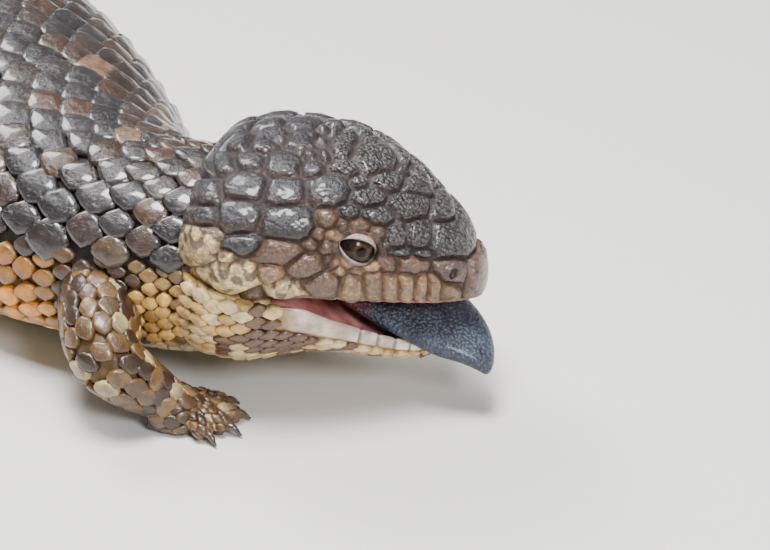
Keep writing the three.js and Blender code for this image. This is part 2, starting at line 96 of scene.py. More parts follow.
def head_point_from_snout(back, right, up):
    """A point of the head, before the head is set where the solids have it."""
    x = -back * math.cos(HEAD_PITCH) + up * math.sin(HEAD_PITCH)
    z = SNOUT_LIP_HEIGHT + back * math.sin(HEAD_PITCH) + up * math.cos(HEAD_PITCH)
    return stacked(x, -right, z)


eye_low, eye_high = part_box("eye_right")
ORIGIN = np.array((eye_low + eye_high) / 2) / MM - head_point_from_snout(*EYE)


def head_point(back, right, up):
    """A point of the head, from its distances behind the snout, to the right and above the lip line."""
    return head_point_from_snout(back, right, up) + ORIGIN


def in_head(points):
    """The distances behind the snout, to the right and above the lip line of some points."""
    local = points - ORIGIN
    high = local[..., 2] - SNOUT_LIP_HEIGHT
    back = -local[..., 0] * math.cos(HEAD_PITCH) + high * math.sin(HEAD_PITCH)
    up = local[..., 0] * math.sin(HEAD_PITCH) + high * math.cos(HEAD_PITCH)
    return back, -local[..., 1], up


def lean(value, squareness):
    """A sine or cosine pressed outwards, so that a round section grows squarer."""
    return np.sign(value) * np.abs(value) ** (2 / squareness)


head_half_width = curve(
    (0, 0), (0.5, 3.4), (2, 5.8), (5, 8.6), (9, 11.4), (16, 15.2), (23, 18.8),
    (32, 22.6), (42, 25.4), (48, 26), (54, 24.4), (60, 19), (62, 15))
head_rise = curve(
    (0, 4.6), (0.5, 6.6), (2, 9), (5, 12.8), (9, 17), (16, 22), (24, 26),
    (32, 27.6), (40, 26.4), (48, 24.6), (56, 21), (62, 14))
cheek_rise = curve((0, 3), (9, 3.4), (24, 5), (40, 8), (62, 10))
lip_share = curve((0, 0.9), (9, 0.93), (24, 0.88), (40, 0.8), (62, 0.8))
palate_rise = curve((0, 0), (3, 0.4), (10, 3), (24, 5), (35, 3), (42, 0))
lip_rise = curve((-6, 2.6), (23, 2.8), (32, 2.1), (39, 0.6), (46, 0))
CHEEK_SHARE = 0.34
CROWN_SQUARENESS = 2.4
PALATE_ARCH = 4


def skull(angle, back, inset=0.0):
    """The head's surface: over the crown, round the cheeks to the lips, and the roof of the mouth."""
    wide = np.maximum(head_half_width(back) - inset, 0.05)
    cheek = cheek_rise(back)
    crown = np.maximum(head_rise(back) - inset - cheek, 0.05)
    side = np.where(np.sin(angle) < 0, -1.0, 1.0)
    below = np.abs(angle) / (math.pi / 2) - 1
    lip = wide * lip_share(back)
    turn = np.clip(below / CHEEK_SHARE, 0, 1)
    inward = np.clip(1 - (below - CHEEK_SHARE) / (1 - CHEEK_SHARE), 0, 1)
    over = below <= 0
    mouth = below > CHEEK_SHARE
    crown_right = wide * lean(np.sin(angle), CROWN_SQUARENESS)
    right = np.where(over, crown_right, side * (wide - (wide - lip) * turn ** 2))
    right = np.where(mouth, side * lip * inward, right)
    low = cheek - (cheek - lip_rise(back)) * turn
    up = np.where(over, cheek + crown * lean(np.maximum(np.cos(angle), 0), CROWN_SQUARENESS), low)
    up = np.where(mouth, lip_rise(back) + palate_rise(back) * (1 - inward ** PALATE_ARCH), up)
    up = up + np.where(below > 0, inset * turn, 0)
    return head_point(back, right, up)


CHIN = MOUTH_CORNER - JAW_LENGTH * math.cos(GAPE)
rim_drop = curve(
    (CHIN, -JAW_LENGTH * math.sin(GAPE)), (14, -10.4), (27, -5.6), (39, -0.3), (41, -0.3))
jaw_half_width = curve(
    (CHIN - 0.4, 0), (CHIN + 0.3, 4.6), (CHIN + 2, 7.6), (16, 12), (26, 17),
    (36, 21.4), (45, 23.6), (52, 23), (60, 18.6))
jaw_underside = curve(
    (CHIN - 0.4, -15), (CHIN + 1, -16.4), (14, -17.6), (28, -18), (36, -19), (46, -22.2), (60, -23.4))
jaw_trough = curve((CHIN, 0), (CHIN + 4, 2), (24, 4), (35, 2.4), (40, 0))
JAW_SQUARENESS = 2.2
TROUGH_ARCH = 4


def jaw(angle, back, inset=0.0):
    """The lower jaw's surface: the trough of the mouth above, the chin and throat below."""
    wide = np.maximum(jaw_half_width(back) - inset, 0.05)
    right = wide * lean(np.sin(angle), JAW_SQUARENESS)
    rim = rim_drop(back) - inset
    trough = jaw_trough(back) * (1 - np.abs(right / wide) ** TROUGH_ARCH)
    low = np.abs(lean(np.cos(angle), JAW_SQUARENESS))
    depth = np.minimum(jaw_underside(back) + inset - rim, -0.1) * low
    high = rim + lip_rise(back) + np.where(np.cos(angle) >= 0, -trough, depth)
    return head_point(back, right, high)


spine_heading = curve(
    (42, 6), (60, 12), (80, 30), (100, 44), (120, 52), (145, 55), (175, 50),
    (205, 38), (235, 22), (262, 8), (290, -4), (346, -18))
SPINE_STEP = 0.5
spine_ats = np.arange(NECK_ROOT, TOTAL_LENGTH + 2 * SPINE_STEP, SPINE_STEP)
spine_turns = np.radians(spine_heading(spine_ats[:-1] + SPINE_STEP / 2))
spine_steps = SPINE_STEP * stacked(-np.cos(spine_turns), np.sin(spine_turns), 0)
spine_start = head_point(NECK_ROOT, 0, 0) * (1, 1, 0)
spine_spots = spine_start + np.concatenate([np.zeros((1, 3)), np.cumsum(spine_steps, axis=0)])


def spine(at):
    """The spot on the floor under the spine at a length from the snout, and its forward and right."""
    spot = np.stack([np.interp(at, spine_ats, spine_spots[:, axis]) for axis in range(3)], axis=-1)
    heading = np.radians(spine_heading(at))
    forward = stacked(np.cos(heading), -np.sin(heading), 0)
    right = stacked(-np.sin(heading), -np.cos(heading), 0)
    return spot, forward, right


body_half_width = curve(
    (42, 16), (56, 20.5), (70, 22), (84, 25.4), (100, 30.5), (120, 35), (145, 37.6), (175, 38.5),
    (205, 37), (235, 31), (258, 25), (282, 20.5), (300, 20.5), (318, 19), (332, 14.6), (341, 9),
    (345, 4), (346, 0.4))
body_top = curve(
    (42, 40), (56, 48), (70, 47), (90, 46.6), (120, 48), (150, 48.5), (190, 47), (230, 42),
    (262, 35), (285, 30.5), (310, 28.5), (330, 23), (341, 16.5), (346, 9))
body_bottom = curve(
    (42, 14), (56, 8.6), (70, 7), (90, 4.2), (110, 1), (128, -0.7), (205, -0.7), (240, 0),
    (262, 1.2), (285, 0.6), (300, -0.5), (322, -0.5), (336, 1.6), (346, 7))
WIDEST_AT = 0.42
BACK_SQUARENESS = 2.25
BELLY_SQUARENESS = 2.7


def body(angle, at, inset=0.0):
    """The surface of neck, trunk and tail: angle 0 on the back, a quarter turn on the right flank."""
    bottom = body_bottom(at)
    tall = body_top(at) - bottom
    above = np.cos(angle) >= 0
    squareness = np.where(above, BACK_SQUARENESS, BELLY_SQUARENESS)
    reach = np.maximum(np.where(above, tall * (1 - WIDEST_AT), tall * WIDEST_AT) - inset, 0.05)
    across = np.maximum(body_half_width(at) - inset, 0.05) * lean(np.sin(angle), squareness)
    up = bottom + tall * WIDEST_AT + reach * lean(np.cos(angle), squareness)
    spot, _, right = spine(at)
    return spot + right * across[..., None] + up[..., None] * (0, 0, 1)


def beside_spine(at, right, forward, up):
    """A point at a length from the snout, to the right of the spine, ahead of it and above the floor."""
    spot, ahead, side = spine(np.float64(at))
    return spot + side * right + ahead * forward + np.array((0, 0, up))


def path(points):
    """A smooth path through a few points, read by the share of its length."""
    points = np.array(points, float)
    ends = np.concatenate([[2 * points[0] - points[1]], points, [2 * points[-1] - points[-2]]])
    t = np.linspace(0, 1, 40, endpoint=False)[:, None]
    spots = []
    for a, b, c, d in zip(ends[:-3], ends[1:-2], ends[2:-1], ends[3:]):
        before = np.linalg.norm(b - a) ** 0.5
        here = np.linalg.norm(c - b) ** 0.5
        after = np.linalg.norm(d - c) ** 0.5
        lead = ((b - a) / before - (c - a) / (before + here) + (c - b) / here) * here
        trail = ((c - b) / here - (d - b) / (here + after) + (d - c) / after) * here
        rise = t * t * (3 - 2 * t)
        spots.append(b + rise * (c - b) + t * (1 - t) ** 2 * lead + t * t * (t - 1) * trail)
    spots = np.concatenate([*spots, points[-1:]])
    far = np.concatenate([[0], np.cumsum(np.linalg.norm(np.diff(spots, axis=0), axis=1))])

    def read(along):
        want = np.clip(along, 0, 1) * far[-1]
        return np.stack([np.interp(want, far, spots[:, axis]) for axis in range(3)], axis=-1)

    return read


ROUTE_STEP = 0.01
THINNEST = 0.3


def tube(route, thickness, inset=0.0):
    """The surface of a limb: angle 0 underneath, a share of its length along."""
    def surface(angle, along):
        ahead = unit(route(along + ROUTE_STEP) - route(along - ROUTE_STEP))
        side = unit(stacked(-ahead[..., 1], ahead[..., 0], 0 * ahead[..., 0]))
        up = np.cross(ahead, side)
        reach = np.maximum(thickness(along) - inset, THINNEST)[..., None]
        sideways = side * reach * np.sin(angle)[..., None]
        return route(along) + sideways - up * reach * np.cos(angle)[..., None]
    return surface


LEGS = {
    "front_right": dict(station=80, side=1, root=(8, 2, 24), bend=(28, 22.5, 17),
                        ankle=(21.5, 29, 7.6), heading=-44, thick=1.0),
    "front_left": dict(station=80, side=-1, root=(8, 1, 22), bend=(28, 7, 16),
                       ankle=(29, 21, 7), heading=5, thick=1.0),
    "hind_right": dict(station=258, side=1, root=(10, 0, 18), bend=(37, 10, 15),
                       ankle=(47, -5, 7), heading=28, thick=1.08),
    "hind_left": dict(station=258, side=-1, root=(9, 1, 18.5), bend=(35, 13.5, 15.4),
                      ankle=(46, 0, 7), heading=34, thick=1.08),
}
TOE_SPREAD = math.radians(27)
TOE_LENGTHS = (5, 6.6, 7.4, 7, 5.2)
SOLE_HEIGHT = 2.6
TOE_RADIUS = 1.9
PALM_AHEAD = 5
HEEL_HEIGHT = 4.6
BALL_AHEAD = 3.4
KNUCKLE_OUT = 1.5
TOE_ROOT = 3.2
CLAW_BACK = 0.9
CLAW_BEND = 1.4
CLAW_REACH = 3.3
CLAW_TIP_HEIGHT = 0.6


def leg_parts(plan):
    """The routes of one leg: the limb, the foot's pad, its five toes and their claws."""
    def joint(right, forward, up):
        return beside_spine(plan["station"], right * plan["side"], forward, up)

    root = joint(*plan["root"])
    bend = joint(*plan["bend"])
    ankle = joint(*plan["ankle"])
    _, forward, right = spine(np.float64(plan["station"]))
    turn = math.radians(plan["heading"])
    ahead = forward * math.cos(turn) + right * plan["side"] * math.sin(turn)
    palm = (ankle + ahead * PALM_AHEAD) * (1, 1, 0) + np.array((0, 0, SOLE_HEIGHT + 0.6))
    thick = plan["thick"]
    arm_thickness = curve(
        (0, 9.6 * thick), (0.4, 8 * thick), (0.56, 7 * thick), (0.85, 4.8 * thick), (1, 3.8 * thick))
    arm = (path([root, bend, ankle, palm]), arm_thickness)
    heel = ankle * (1, 1, 0) + np.array((0, 0, HEEL_HEIGHT))
    ball = (palm + ahead * BALL_AHEAD) * (1, 1, 0) + np.array((0, 0, SOLE_HEIGHT))
    pad = (path([heel, palm, ball]), curve((0, 4.2), (0.6, 5), (1, 3.2)))
    toes = []
    claws = []
    for toe in range(5):
        splay = (toe - 2) * TOE_SPREAD
        out = np.array((ahead[0] * math.cos(splay) - ahead[1] * math.sin(splay),
                        ahead[0] * math.sin(splay) + ahead[1] * math.cos(splay), 0))
        reach = TOE_LENGTHS[4 - toe if plan["side"] > 0 else toe]
        flat = palm * (1, 1, 0)
        knuckle = flat + out * KNUCKLE_OUT + np.array((0, 0, SOLE_HEIGHT))
        end = flat + out * (TOE_ROOT + reach) + np.array((0, 0, TOE_RADIUS - 0.25))
        arch = (knuckle + end) / 2 * (1, 1, 0) + np.array((0, 0, SOLE_HEIGHT + 0.9))
        toes.append((path([knuckle, arch, end + out * 0.2]), curve((0, 1.8), (0.8, 1.65), (1, 1.2))))
        claw_root = end - out * CLAW_BACK + np.array((0, 0, 0.35))
        knee = end + out * CLAW_BEND + np.array((0, 0, 0.5))
        tip = (end + out * CLAW_REACH) * (1, 1, 0) + np.array((0, 0, CLAW_TIP_HEIGHT))
        claws.append((path([claw_root, knee, tip]), curve((0, 1.05), (0.5, 0.75), (0.9, 0.3), (1, 0.12))))
    return arm, pad, toes, claws


# Skin
# The skin between the scales is thin, dry and hidden nearly everywhere, and pink and moist in the mouth.
# One closed surface runs through head, jaw, neck, trunk, tail and legs; the scales stand on it.
TRUNK_INSET = 1.0
SKULL_INSET = 1.3
JAW_INSET = 0.8
LIMB_INSET = 0.8
TOE_INSET = 0.25
SKIN_VOXEL = 1.05 * MM
skin_parts = []


def as_piece(made, name):
    """A piece of the scene from a finished bmesh."""
    mesh = bpy.data.meshes.new(name)
    made.to_mesh(mesh)
    made.free()
    piece = bpy.data.objects.new(name, mesh)
    bpy.context.scene.collection.objects.link(piece)
    return piece


def settle(piece):
    """Turns what a piece's modifiers make of it into its own mesh."""
    shown = piece.evaluated_get(bpy.context.evaluated_depsgraph_get())
    whole = bpy.data.meshes.new_from_object(shown)
    piece.modifiers.clear()
    piece.data = whole


def wrapped(name, around, along, surface):
    """A grid laid round a surface of (u, v) from 0 to 1, its seam and both ends closed."""
    made = bmesh.new()
    bmesh.ops.create_grid(made, x_segments=around, y_segments=along, size=0.5)
    places = np.array([vert.co[:] for vert in made.verts]) + 0.5
    spots = surface(places[:, 0], places[:, 1]) * MM
    u_layer = made.verts.layers.float.new("u")
    v_layer = made.verts.layers.float.new("v")
    bake = made.loops.layers.uv.new("OFBake")
    for vert, place, spot in zip(made.verts, places, spots):
        vert[u_layer] = place[0]
        vert[v_layer] = place[1]
        vert.co = spot
    for face in made.faces:
        for loop in face.loops:
            loop[bake].uv = (loop.vert[u_layer], loop.vert[v_layer])
    bmesh.ops.remove_doubles(made, verts=made.verts[:], dist=1e-7)
    bmesh.ops.recalc_face_normals(made, faces=made.faces[:])
    for face in made.faces:
        face.smooth = True
    return as_piece(made, name)


def ends(v, share=0.04):
    """The length along and the radius of a closed surface, which narrows to nothing at both ends."""
    return np.clip((v - share) / (1 - 2 * share), 0, 1), np.clip(np.minimum(v, 1 - v) / share, 0, 1)


def capped(surface, first, last):
    """A surface of (angle, at) from first to last, closed at its ends towards their middles."""
    def place(u, v):
        along, radius = ends(v)
        angle = (2 * u - 1) * math.pi
        at = first + (last - first) * along
        spots = surface(angle, at)
        middles = (surface(0 * angle, at) + surface(0 * angle + math.pi, at)) / 2
        return middles + (spots - middles) * radius[..., None]
    return place


def vertex_places(piece):
    """The vertices of a piece, in millimetres."""
    flat = np.empty(len(piece.data.vertices) * 3, np.float32)
    piece.data.vertices.foreach_get("co", flat)
    return flat.reshape(-1, 3).astype(float) / MM


def move_vertices(piece, places):
    """Sets the vertices of a piece at places in millimetres."""
    piece.data.vertices.foreach_set("co", (places * MM).astype(np.float32).ravel())
    piece.data.update()


def vertex_normals(piece):
    flat = np.empty(len(piece.data.vertices) * 3, np.float32)
    piece.data.vertices.foreach_get("normal", flat)
    return flat.reshape(-1, 3).astype(float)


def vertex_values(piece, name):
    flat = np.empty(len(piece.data.vertices), np.float32)
    piece.data.attributes[name].data.foreach_get("value", flat)
    return flat.astype(float)


skin_parts.append(wrapped("trunk_form", 120, 260, capped(
    lambda angle, at: body(angle, at, TRUNK_INSET), NECK_ROOT + 1, TOTAL_LENGTH - 1.2)))
skin_parts.append(wrapped("skull_form", 90, 70, capped(
    lambda angle, back: skull(angle, back, SKULL_INSET), 1.6, 61)))
skin_parts.append(wrapped("jaw_form", 80, 60, capped(
    lambda angle, back: jaw(angle, back, JAW_INSET), CHIN + 0.8, 58)))
for leg_name, leg_plan in LEGS.items():
    arm_route, pad_route, toe_routes, _ = leg_parts(leg_plan)
    for part, (route, thickness) in enumerate([arm_route, pad_route, *toe_routes]):
        inset = LIMB_INSET if part < 2 else TOE_INSET
        skin_parts.append(wrapped(f"{leg_name}_form_{part}", 20, 40, capped(
            tube(route, thickness, inset), 0, 1)))

joined = bmesh.new()
for part in skin_parts:
    joined.from_mesh(part.data)
    bpy.data.objects.remove(part)
skin = as_piece(joined, "skin")
remesh = skin.modifiers.new("Remesh", "REMESH")
remesh.mode = "VOXEL"
remesh.voxel_size = SKIN_VOXEL
smooth = skin.modifiers.new("Smooth", "SMOOTH")
smooth.iterations = 3
smooth.factor = 0.5
settle(skin)
skin.data.polygons.foreach_set("use_smooth", [True] * len(skin.data.polygons))


LID_ANGLE = math.radians(66.5)
LID_AHEAD = 1.6
LID_SLANT = math.radians(-10)


def eye_frame(side):
    """The spot on the skull over an eye, with its backward, upward and outward directions."""
    angle = np.float64(side * LID_ANGLE)
    back = np.float64(EYE[0] - LID_AHEAD)
    spot = skull(angle, back)
    lie = unit(skull(angle, back + 0.5) - skull(angle, back - 0.5))
    around = skull(angle + 0.02, back) - skull(angle - 0.02, back)
    out = unit(np.cross(lie, around))
    slant = LID_SLANT * side
    rise = np.cross(out, lie)
    across = lie * math.cos(slant) + rise * math.sin(slant)
    up = (rise * math.cos(slant) - lie * math.sin(slant)) * side
    return spot, across, up, out


def step(low, high, value):
    """0 below low, 1 above high and smooth between."""
    t = np.clip((value - low) / (high - low), 0, 1)
    return t * t * (3 - 2 * t)


SOCKET_LONG = 5.2
SOCKET_TALL = 4.0
SOCKET_SINK = 5.0
SOCKET_REACH = 7
FLOOR_GAP = 0.15
skin_places = vertex_places(skin)
for side in (1, -1):
    spot, across, up, out = eye_frame(side)
    local = skin_places - spot
    beside = np.hypot(local @ across / SOCKET_LONG, local @ up / SOCKET_TALL)
    near = local @ out > -SOCKET_REACH
    sink = np.where(near, SOCKET_SINK * step(1.1, 0.8, beside), 0)
    skin_places = skin_places - out * sink[:, None]
skin_places[:, 2] = np.maximum(skin_places[:, 2], FLOOR_GAP)
move_vertices(skin, skin_places)


def paint(piece, colours):
    """Gives each vertex of a piece its colour, in the attribute that every material here reads."""
    layer = piece.data.attributes.new("tone", "FLOAT_COLOR", "POINT")
    full = np.ones((len(piece.data.vertices), 4), np.float32)
    full[:, :3] = colours
    layer.data.foreach_set("color", full.ravel())


SLATE = np.array((0.020, 0.018, 0.020))
UMBER = np.array((0.045, 0.021, 0.010))
PEACH = np.array((0.26, 0.155, 0.095))
GOLD = np.array((0.52, 0.205, 0.015))
SAND = np.array((0.52, 0.29, 0.07))
CREAM = np.array((0.70, 0.54, 0.28))
GUM = np.array((0.62, 0.27, 0.25))


def waves(at, turn):
    """A slow, uneven wave from 0 to 1 along the body, for its crossbands."""
    wave = np.sin(at / 5.3 + 1.4 * np.sin(at / 23.0) + turn) + 0.5 * np.sin(at / 2.9 + 2 * turn)
    return 0.5 + wave / 3


LOW_FLANK = (1.15, 1.55)
LOW_BELLY = (2.0, 2.4)
BROWN_BAND = (0.56, 0.80)
BELLY_BAND = (0.66, 0.84)
FLECK_CHANCE = 0.93


def coat_colour(angle, at, chance):
    """The colour of the coat: dark on the back with pale flecks, gold and brown bands on the flanks."""
    turn = np.abs(angle)
    band = waves(at, 0.6 * np.sign(angle))
    low = step(*LOW_FLANK, turn + 0.35 * (band - 0.5))
    under = step(*LOW_BELLY, turn)
    back = SLATE + (UMBER - SLATE) * step(0.3, 0.9, chance)[..., None]
    back = back + (PEACH - back) * ((chance > FLECK_CHANCE) * (0.12 + 0.3 * band))[..., None]
    flank = GOLD + (SAND - GOLD) * step(84, 66, at)[..., None]
    flank = flank + (UMBER - flank) * step(*BROWN_BAND, band + 0.5 * (chance - 0.5))[..., None]
    belly = CREAM + (UMBER - CREAM) * (0.65 * step(*BELLY_BAND, band))[..., None]
    colour = back + (flank - back) * low[..., None]
    return colour + (belly - colour) * under[..., None]


BATCH = 20000
COARSE = 6


def beside_body(points):
    """The length from the snout and the angle round the body of some points."""
    at = np.empty(len(points))
    coarse = spine_spots[::COARSE, :2]
    for first in range(0, len(points), BATCH):
        part = points[first:first + BATCH]
        far = ((part[:, None, :2] - coarse[None]) ** 2).sum(axis=2)
        at[first:first + BATCH] = spine_ats[::COARSE][np.argmin(far, axis=1)]
    spot, _, right = spine(at)
    across = ((points - spot) * right).sum(axis=1) / body_half_width(at)
    bottom = body_bottom(at)
    tall = body_top(at) - bottom
    high = (points[:, 2] - bottom - tall * WIDEST_AT) / (tall * 0.5)
    return at, np.arctan2(across, high)


skin_at, skin_angle = beside_body(skin_places)
# Outside the mouth the skin is a dark copy of the coat: painted shade in the gaps between the scales.
skin_painted_shade_and_gum = coat_colour(skin_angle, skin_at, np.full(len(skin_at), 0.5)) * 0.2 + UMBER * 0.3
skin_back, skin_right, skin_up = in_head(skin_places)
skin_up = skin_up - lip_rise(skin_back)
GUM_BEHIND = 3
GUM_BELOW = 1.9
GUM_ABOVE = 2.2
in_mouth = (skin_back < MOUTH_CORNER + GUM_BEHIND) & (skin_up > rim_drop(skin_back) - GUM_BELOW)
in_mouth &= skin_up < palate_rise(skin_back) + GUM_ABOVE
in_mouth &= np.abs(skin_right) < jaw_half_width(skin_back)
skin_painted_shade_and_gum[in_mouth] = GUM
paint(skin, skin_painted_shade_and_gum)


MIX_FIRST = 6
MIX_SECOND = 7
MIX_RESULT = 2


def noise(material, scale, detail, roughness=0.5):
    """Noise through the piece, read at its object coordinates."""
    nodes = material.node_tree.nodes
    made = nodes.new("ShaderNodeTexNoise")
    made.inputs["Scale"].default_value = scale
    made.inputs["Detail"].default_value = detail
    made.inputs["Roughness"].default_value = roughness
    material.node_tree.links.new(nodes["where"].outputs["Object"], made.inputs["Vector"])
    return made.outputs["Fac"]


def shaded(material, base, pattern, low, high):
    """Multiplies the base colour by a ramp over a pattern; low and high are its places and colours."""
    nodes = material.node_tree.nodes
    links = material.node_tree.links
    ramp = nodes.new("ShaderNodeValToRGB")
    for stop, (place, colour) in zip(ramp.color_ramp.elements, (low, high)):
        stop.position = place
        stop.color = (*colour, 1)
    mix = nodes.new("ShaderNodeMix")
    mix.data_type = "RGBA"
    mix.blend_type = "MULTIPLY"
    links.new(pattern, ramp.inputs["Fac"])
    links.new(base, mix.inputs[MIX_FIRST])
    links.new(ramp.outputs["Color"], mix.inputs[MIX_SECOND])
    links.new(mix.outputs[MIX_RESULT], nodes["Principled BSDF"].inputs["Base Color"])
    return mix


def raised(material, pattern, depth, under=None):
    """A bump of a pattern, in metres, on top of another bump."""
    bump = material.node_tree.nodes.new("ShaderNodeBump")
    bump.inputs["Strength"].default_value = 1.0
    bump.inputs["Distance"].default_value = depth
    material.node_tree.links.new(pattern, bump.inputs["Height"])
    if under:
        material.node_tree.links.new(under, bump.inputs["Normal"])
    return bump


def hide_material(name, roughness, coat, grain, depth, mottle, wrinkle=0.0):
    """Paint from a piece's own tone, mottled, wrinkled and finely grained, under a horny gloss."""
    material = bpy.data.materials.new(name)
    material.use_nodes = True
    nodes = material.node_tree.nodes
    surface = nodes["Principled BSDF"]
    surface.inputs["Roughness"].default_value = roughness
    surface.inputs["Coat Weight"].default_value = coat
    surface.inputs["Coat Roughness"].default_value = 0.12
    tone = nodes.new("ShaderNodeAttribute")
    tone.attribute_name = "tone"
    where = nodes.new("ShaderNodeTexCoord")
    where.name = "where"
    cloud = shaded(material, tone.outputs["Color"], noise(material, mottle, 5),
                   (0.34, (0.42, 0.38, 0.36)), (0.62, (1, 1, 1)))
    cloud.inputs["Factor"].default_value = 0.85
    folds = raised(material, noise(material, grain * 0.3, 3), wrinkle)
    fine = raised(material, noise(material, grain, 6, 0.6), depth, folds.outputs["Normal"])
    material.node_tree.links.new(fine.outputs["Normal"], surface.inputs["Normal"])
    return material


skin_material = hide_material(
    "skin_between_scales", roughness=0.7, coat=0.05, grain=1400, depth=0.00012, mottle=260)
skin.data.materials.append(skin_material)
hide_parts("head", "lower_jaw", "neck", "trunk_front", "trunk_rear", "hips", "tail")
for leg_name in LEGS:
    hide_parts(leg_name + "_upper", leg_name + "_lower", leg_name + "_foot")
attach(skin, "root")

# Shields of the head
# Horny plates cover the skull, each one domed and parted from its neighbours by a narrow groove: slate
# and glossy on the crown, rough on the snout, smooth and brown on the lips. The skull's surface is
# pressed to their shapes, and their middles, widths and heights are places in the photograph.
CAMERA_TARGET = np.array((-19.0, -8.0, 31.0)) + ORIGIN
CAMERA_AZIMUTH = math.radians(10)
CAMERA_ELEVATION = math.radians(30)
CAMERA_DISTANCE = 428.0
CAMERA_LENS = 100.0
SENSOR = 36.0
PHOTO_SIZE = (770, 550)
toward_camera = np.array((
    math.sin(CAMERA_AZIMUTH) * math.cos(CAMERA_ELEVATION),
    -math.cos(CAMERA_AZIMUTH) * math.cos(CAMERA_ELEVATION),
    math.sin(CAMERA_ELEVATION)))
camera_right = np.array((math.cos(CAMERA_AZIMUTH), math.sin(CAMERA_AZIMUTH), 0))
camera_up = np.cross(toward_camera, camera_right)


def in_photo(points):
    """Where points fall in the photograph, in its pixels."""
    local = points - CAMERA_TARGET
    scale = CAMERA_LENS / SENSOR * PHOTO_SIZE[0] / (CAMERA_DISTANCE - local @ toward_camera)
    x = PHOTO_SIZE[0] / 2 + scale * (local @ camera_right)
    y = PHOTO_SIZE[1] / 2 - scale * (local @ camera_up)
    return x, y


TONES = {
    "slate": (0.022, 0.020, 0.024),
    "grey": (0.052, 0.046, 0.048),
    "rough": (0.045, 0.041, 0.043),
    "brown": (0.100, 0.052, 0.028),
    "tan": (0.270, 0.150, 0.075),
    "cream": (0.640, 0.470, 0.230),
    "lip": (0.215, 0.125, 0.062),
    "nose": (0.100, 0.057, 0.043),
}
# Groove colour: the dark skin between the plates, with painted shade.
GROOVE_AND_SHADE = np.array((0.016, 0.007, 0.004))
WORN = np.array((0.042, 0.020, 0.011))
BLOTCH = np.array((0.040, 0.024, 0.018))
PLATES = {
    "slate": (
        (283, 164, 32, 26), (313, 169, 22, 14), (246, 186, 44, 26), (284, 191, 40, 27),
        (330, 190, 42, 30), (237, 215, 44, 28), (289, 224, 50, 34), (243, 246, 44, 18),
        (249, 161, 30, 16), (263, 146, 30, 14), (300, 144, 30, 14), (280, 136, 20, 12),
        (293, 128, 27, 14), (320, 136, 17, 15), (313, 122, 20, 12), (266, 125, 24, 12),
        (324, 155, 11, 10), (310, 155, 14, 8), (207, 190, 24, 30), (206, 215, 26, 20),
        (222, 164, 26, 20), (238, 144, 26, 14), (254, 131, 22, 10), (206, 168, 18, 22)),
    "grey": (
        (343, 148, 20, 20), (377, 158, 46, 30), (346, 168, 30, 16), (360, 182, 20, 14),
        (389, 181, 36, 20), (369, 196, 36, 20), (421, 185, 40, 22), (410, 205, 42, 28),
        (349, 211, 22, 16), (380, 215, 34, 18), (444, 208, 26, 26), (421, 234, 28, 30),
        (398, 234, 20, 26), (357, 132, 24, 18), (374, 132, 14, 13), (387, 146, 14, 12),
        (411, 165, 28, 18), (349, 124, 22, 9), (334, 124, 14, 9), (329, 134, 10, 10)),
    "rough": ((451, 241, 46, 40), (423, 254, 22, 10), (404, 253, 20, 10)),
    "brown": (
        (277, 252, 48, 24), (307, 268, 34, 24), (321, 284, 36, 24), (320, 235, 16, 13),
        (310, 245, 18, 11), (327, 249, 16, 15), (330, 262, 14, 14), (328, 218, 24, 18),
        (343, 225, 14, 12), (360, 225, 22, 12), (379, 232, 15, 12), (411, 265, 37, 20),
        (391, 266, 20, 14), (283, 302, 36, 20), (250, 300, 34, 22)),
    "tan": (
        (269, 275, 24, 18), (331, 235, 15, 10), (333, 264, 13, 14), (347, 265, 11, 11),
        (340, 272, 14, 10), (357, 272, 15, 7), (372, 268, 16, 10)),
    "cream": ((204, 242, 27, 30), (234, 281, 46, 30), (283, 294, 40, 22), (226, 256, 16, 14)),
    "lip": (
        (352, 289, 22, 24), (374, 285, 20, 22), (391, 285, 16, 22), (407, 284, 16, 22),
        (422, 285, 14, 22), (435, 286, 14, 22), (450, 290, 16, 16)),
    "nose": ((452, 270, 34, 28), (480, 272, 24, 36)),
}
plate_places = np.array([place for group in PLATES.values() for place in group], float)
plate_tones = np.array([TONES[tone] for tone, group in PLATES.items() for _ in group])
plate_kinds = np.array([tone for tone, group in PLATES.items() for _ in group])
plate_rough = np.isin(plate_kinds, ("rough", "grey"))
plate_dark = np.isin(plate_kinds, ("rough", "grey", "slate"))
plate_pale = plate_kinds == "cream"
chances = np.random.default_rng(7)
plate_light = chances.uniform(0.8, 1.25, len(plate_places))

PHOTO_PIXEL = 0.2
SHELL_LIFT = 0.15
GROOVE_DEPTH = 0.85
DOME_RISE = 1.0
DOME_SPREAD = 1.15
DOME_SINK = 0.3
LUMP_RISE = 0.09
EDGE_WIDTH = 0.8
PALATE_EDGE = (1.30, 1.36)
LID_BED_LONG = 4.7
LID_BED_TALL = 3.0
LID_BED_SINK = 4.0
NOSTRIL_RIM = 2.4
NOSTRIL_HOLE = 1.3
EAR_RADIUS = 2.6


def nearest_plates(x, y):
    """The nearest plate of each place, how far out it lies in it, and its distance from the edge."""
    index = np.empty(len(x), int)
    share = np.empty(len(x))
    low = np.empty(len(x))
    edge = np.empty(len(x))
    half = plate_places[:, 2:] / 2
    sizes = half.mean(axis=1)
    for first in range(0, len(x), BATCH):
        part = slice(first, first + BATCH)
        gap_x = (x[part, None] - plate_places[None, :, 0]) / half[None, :, 0]
        gap_y = (y[part, None] - plate_places[None, :, 1]) / half[None, :, 1]
        far = np.hypot(gap_x, gap_y)
        order = np.argsort(far, axis=1)[:, :2]
        rows = np.arange(len(far))
        one = order[:, 0]
        two = order[:, 1]
        index[part] = one
        share[part] = far[rows, one]
        low[part] = gap_y[rows, one]
        edge[part] = (far[rows, two] - far[rows, one]) / (1 / sizes[one] + 1 / sizes[two])
    return index, share, edge, low


shell_along = curve((0, 0.02), (0.05, 0.5), (0.12, 2.6), (1, 61))


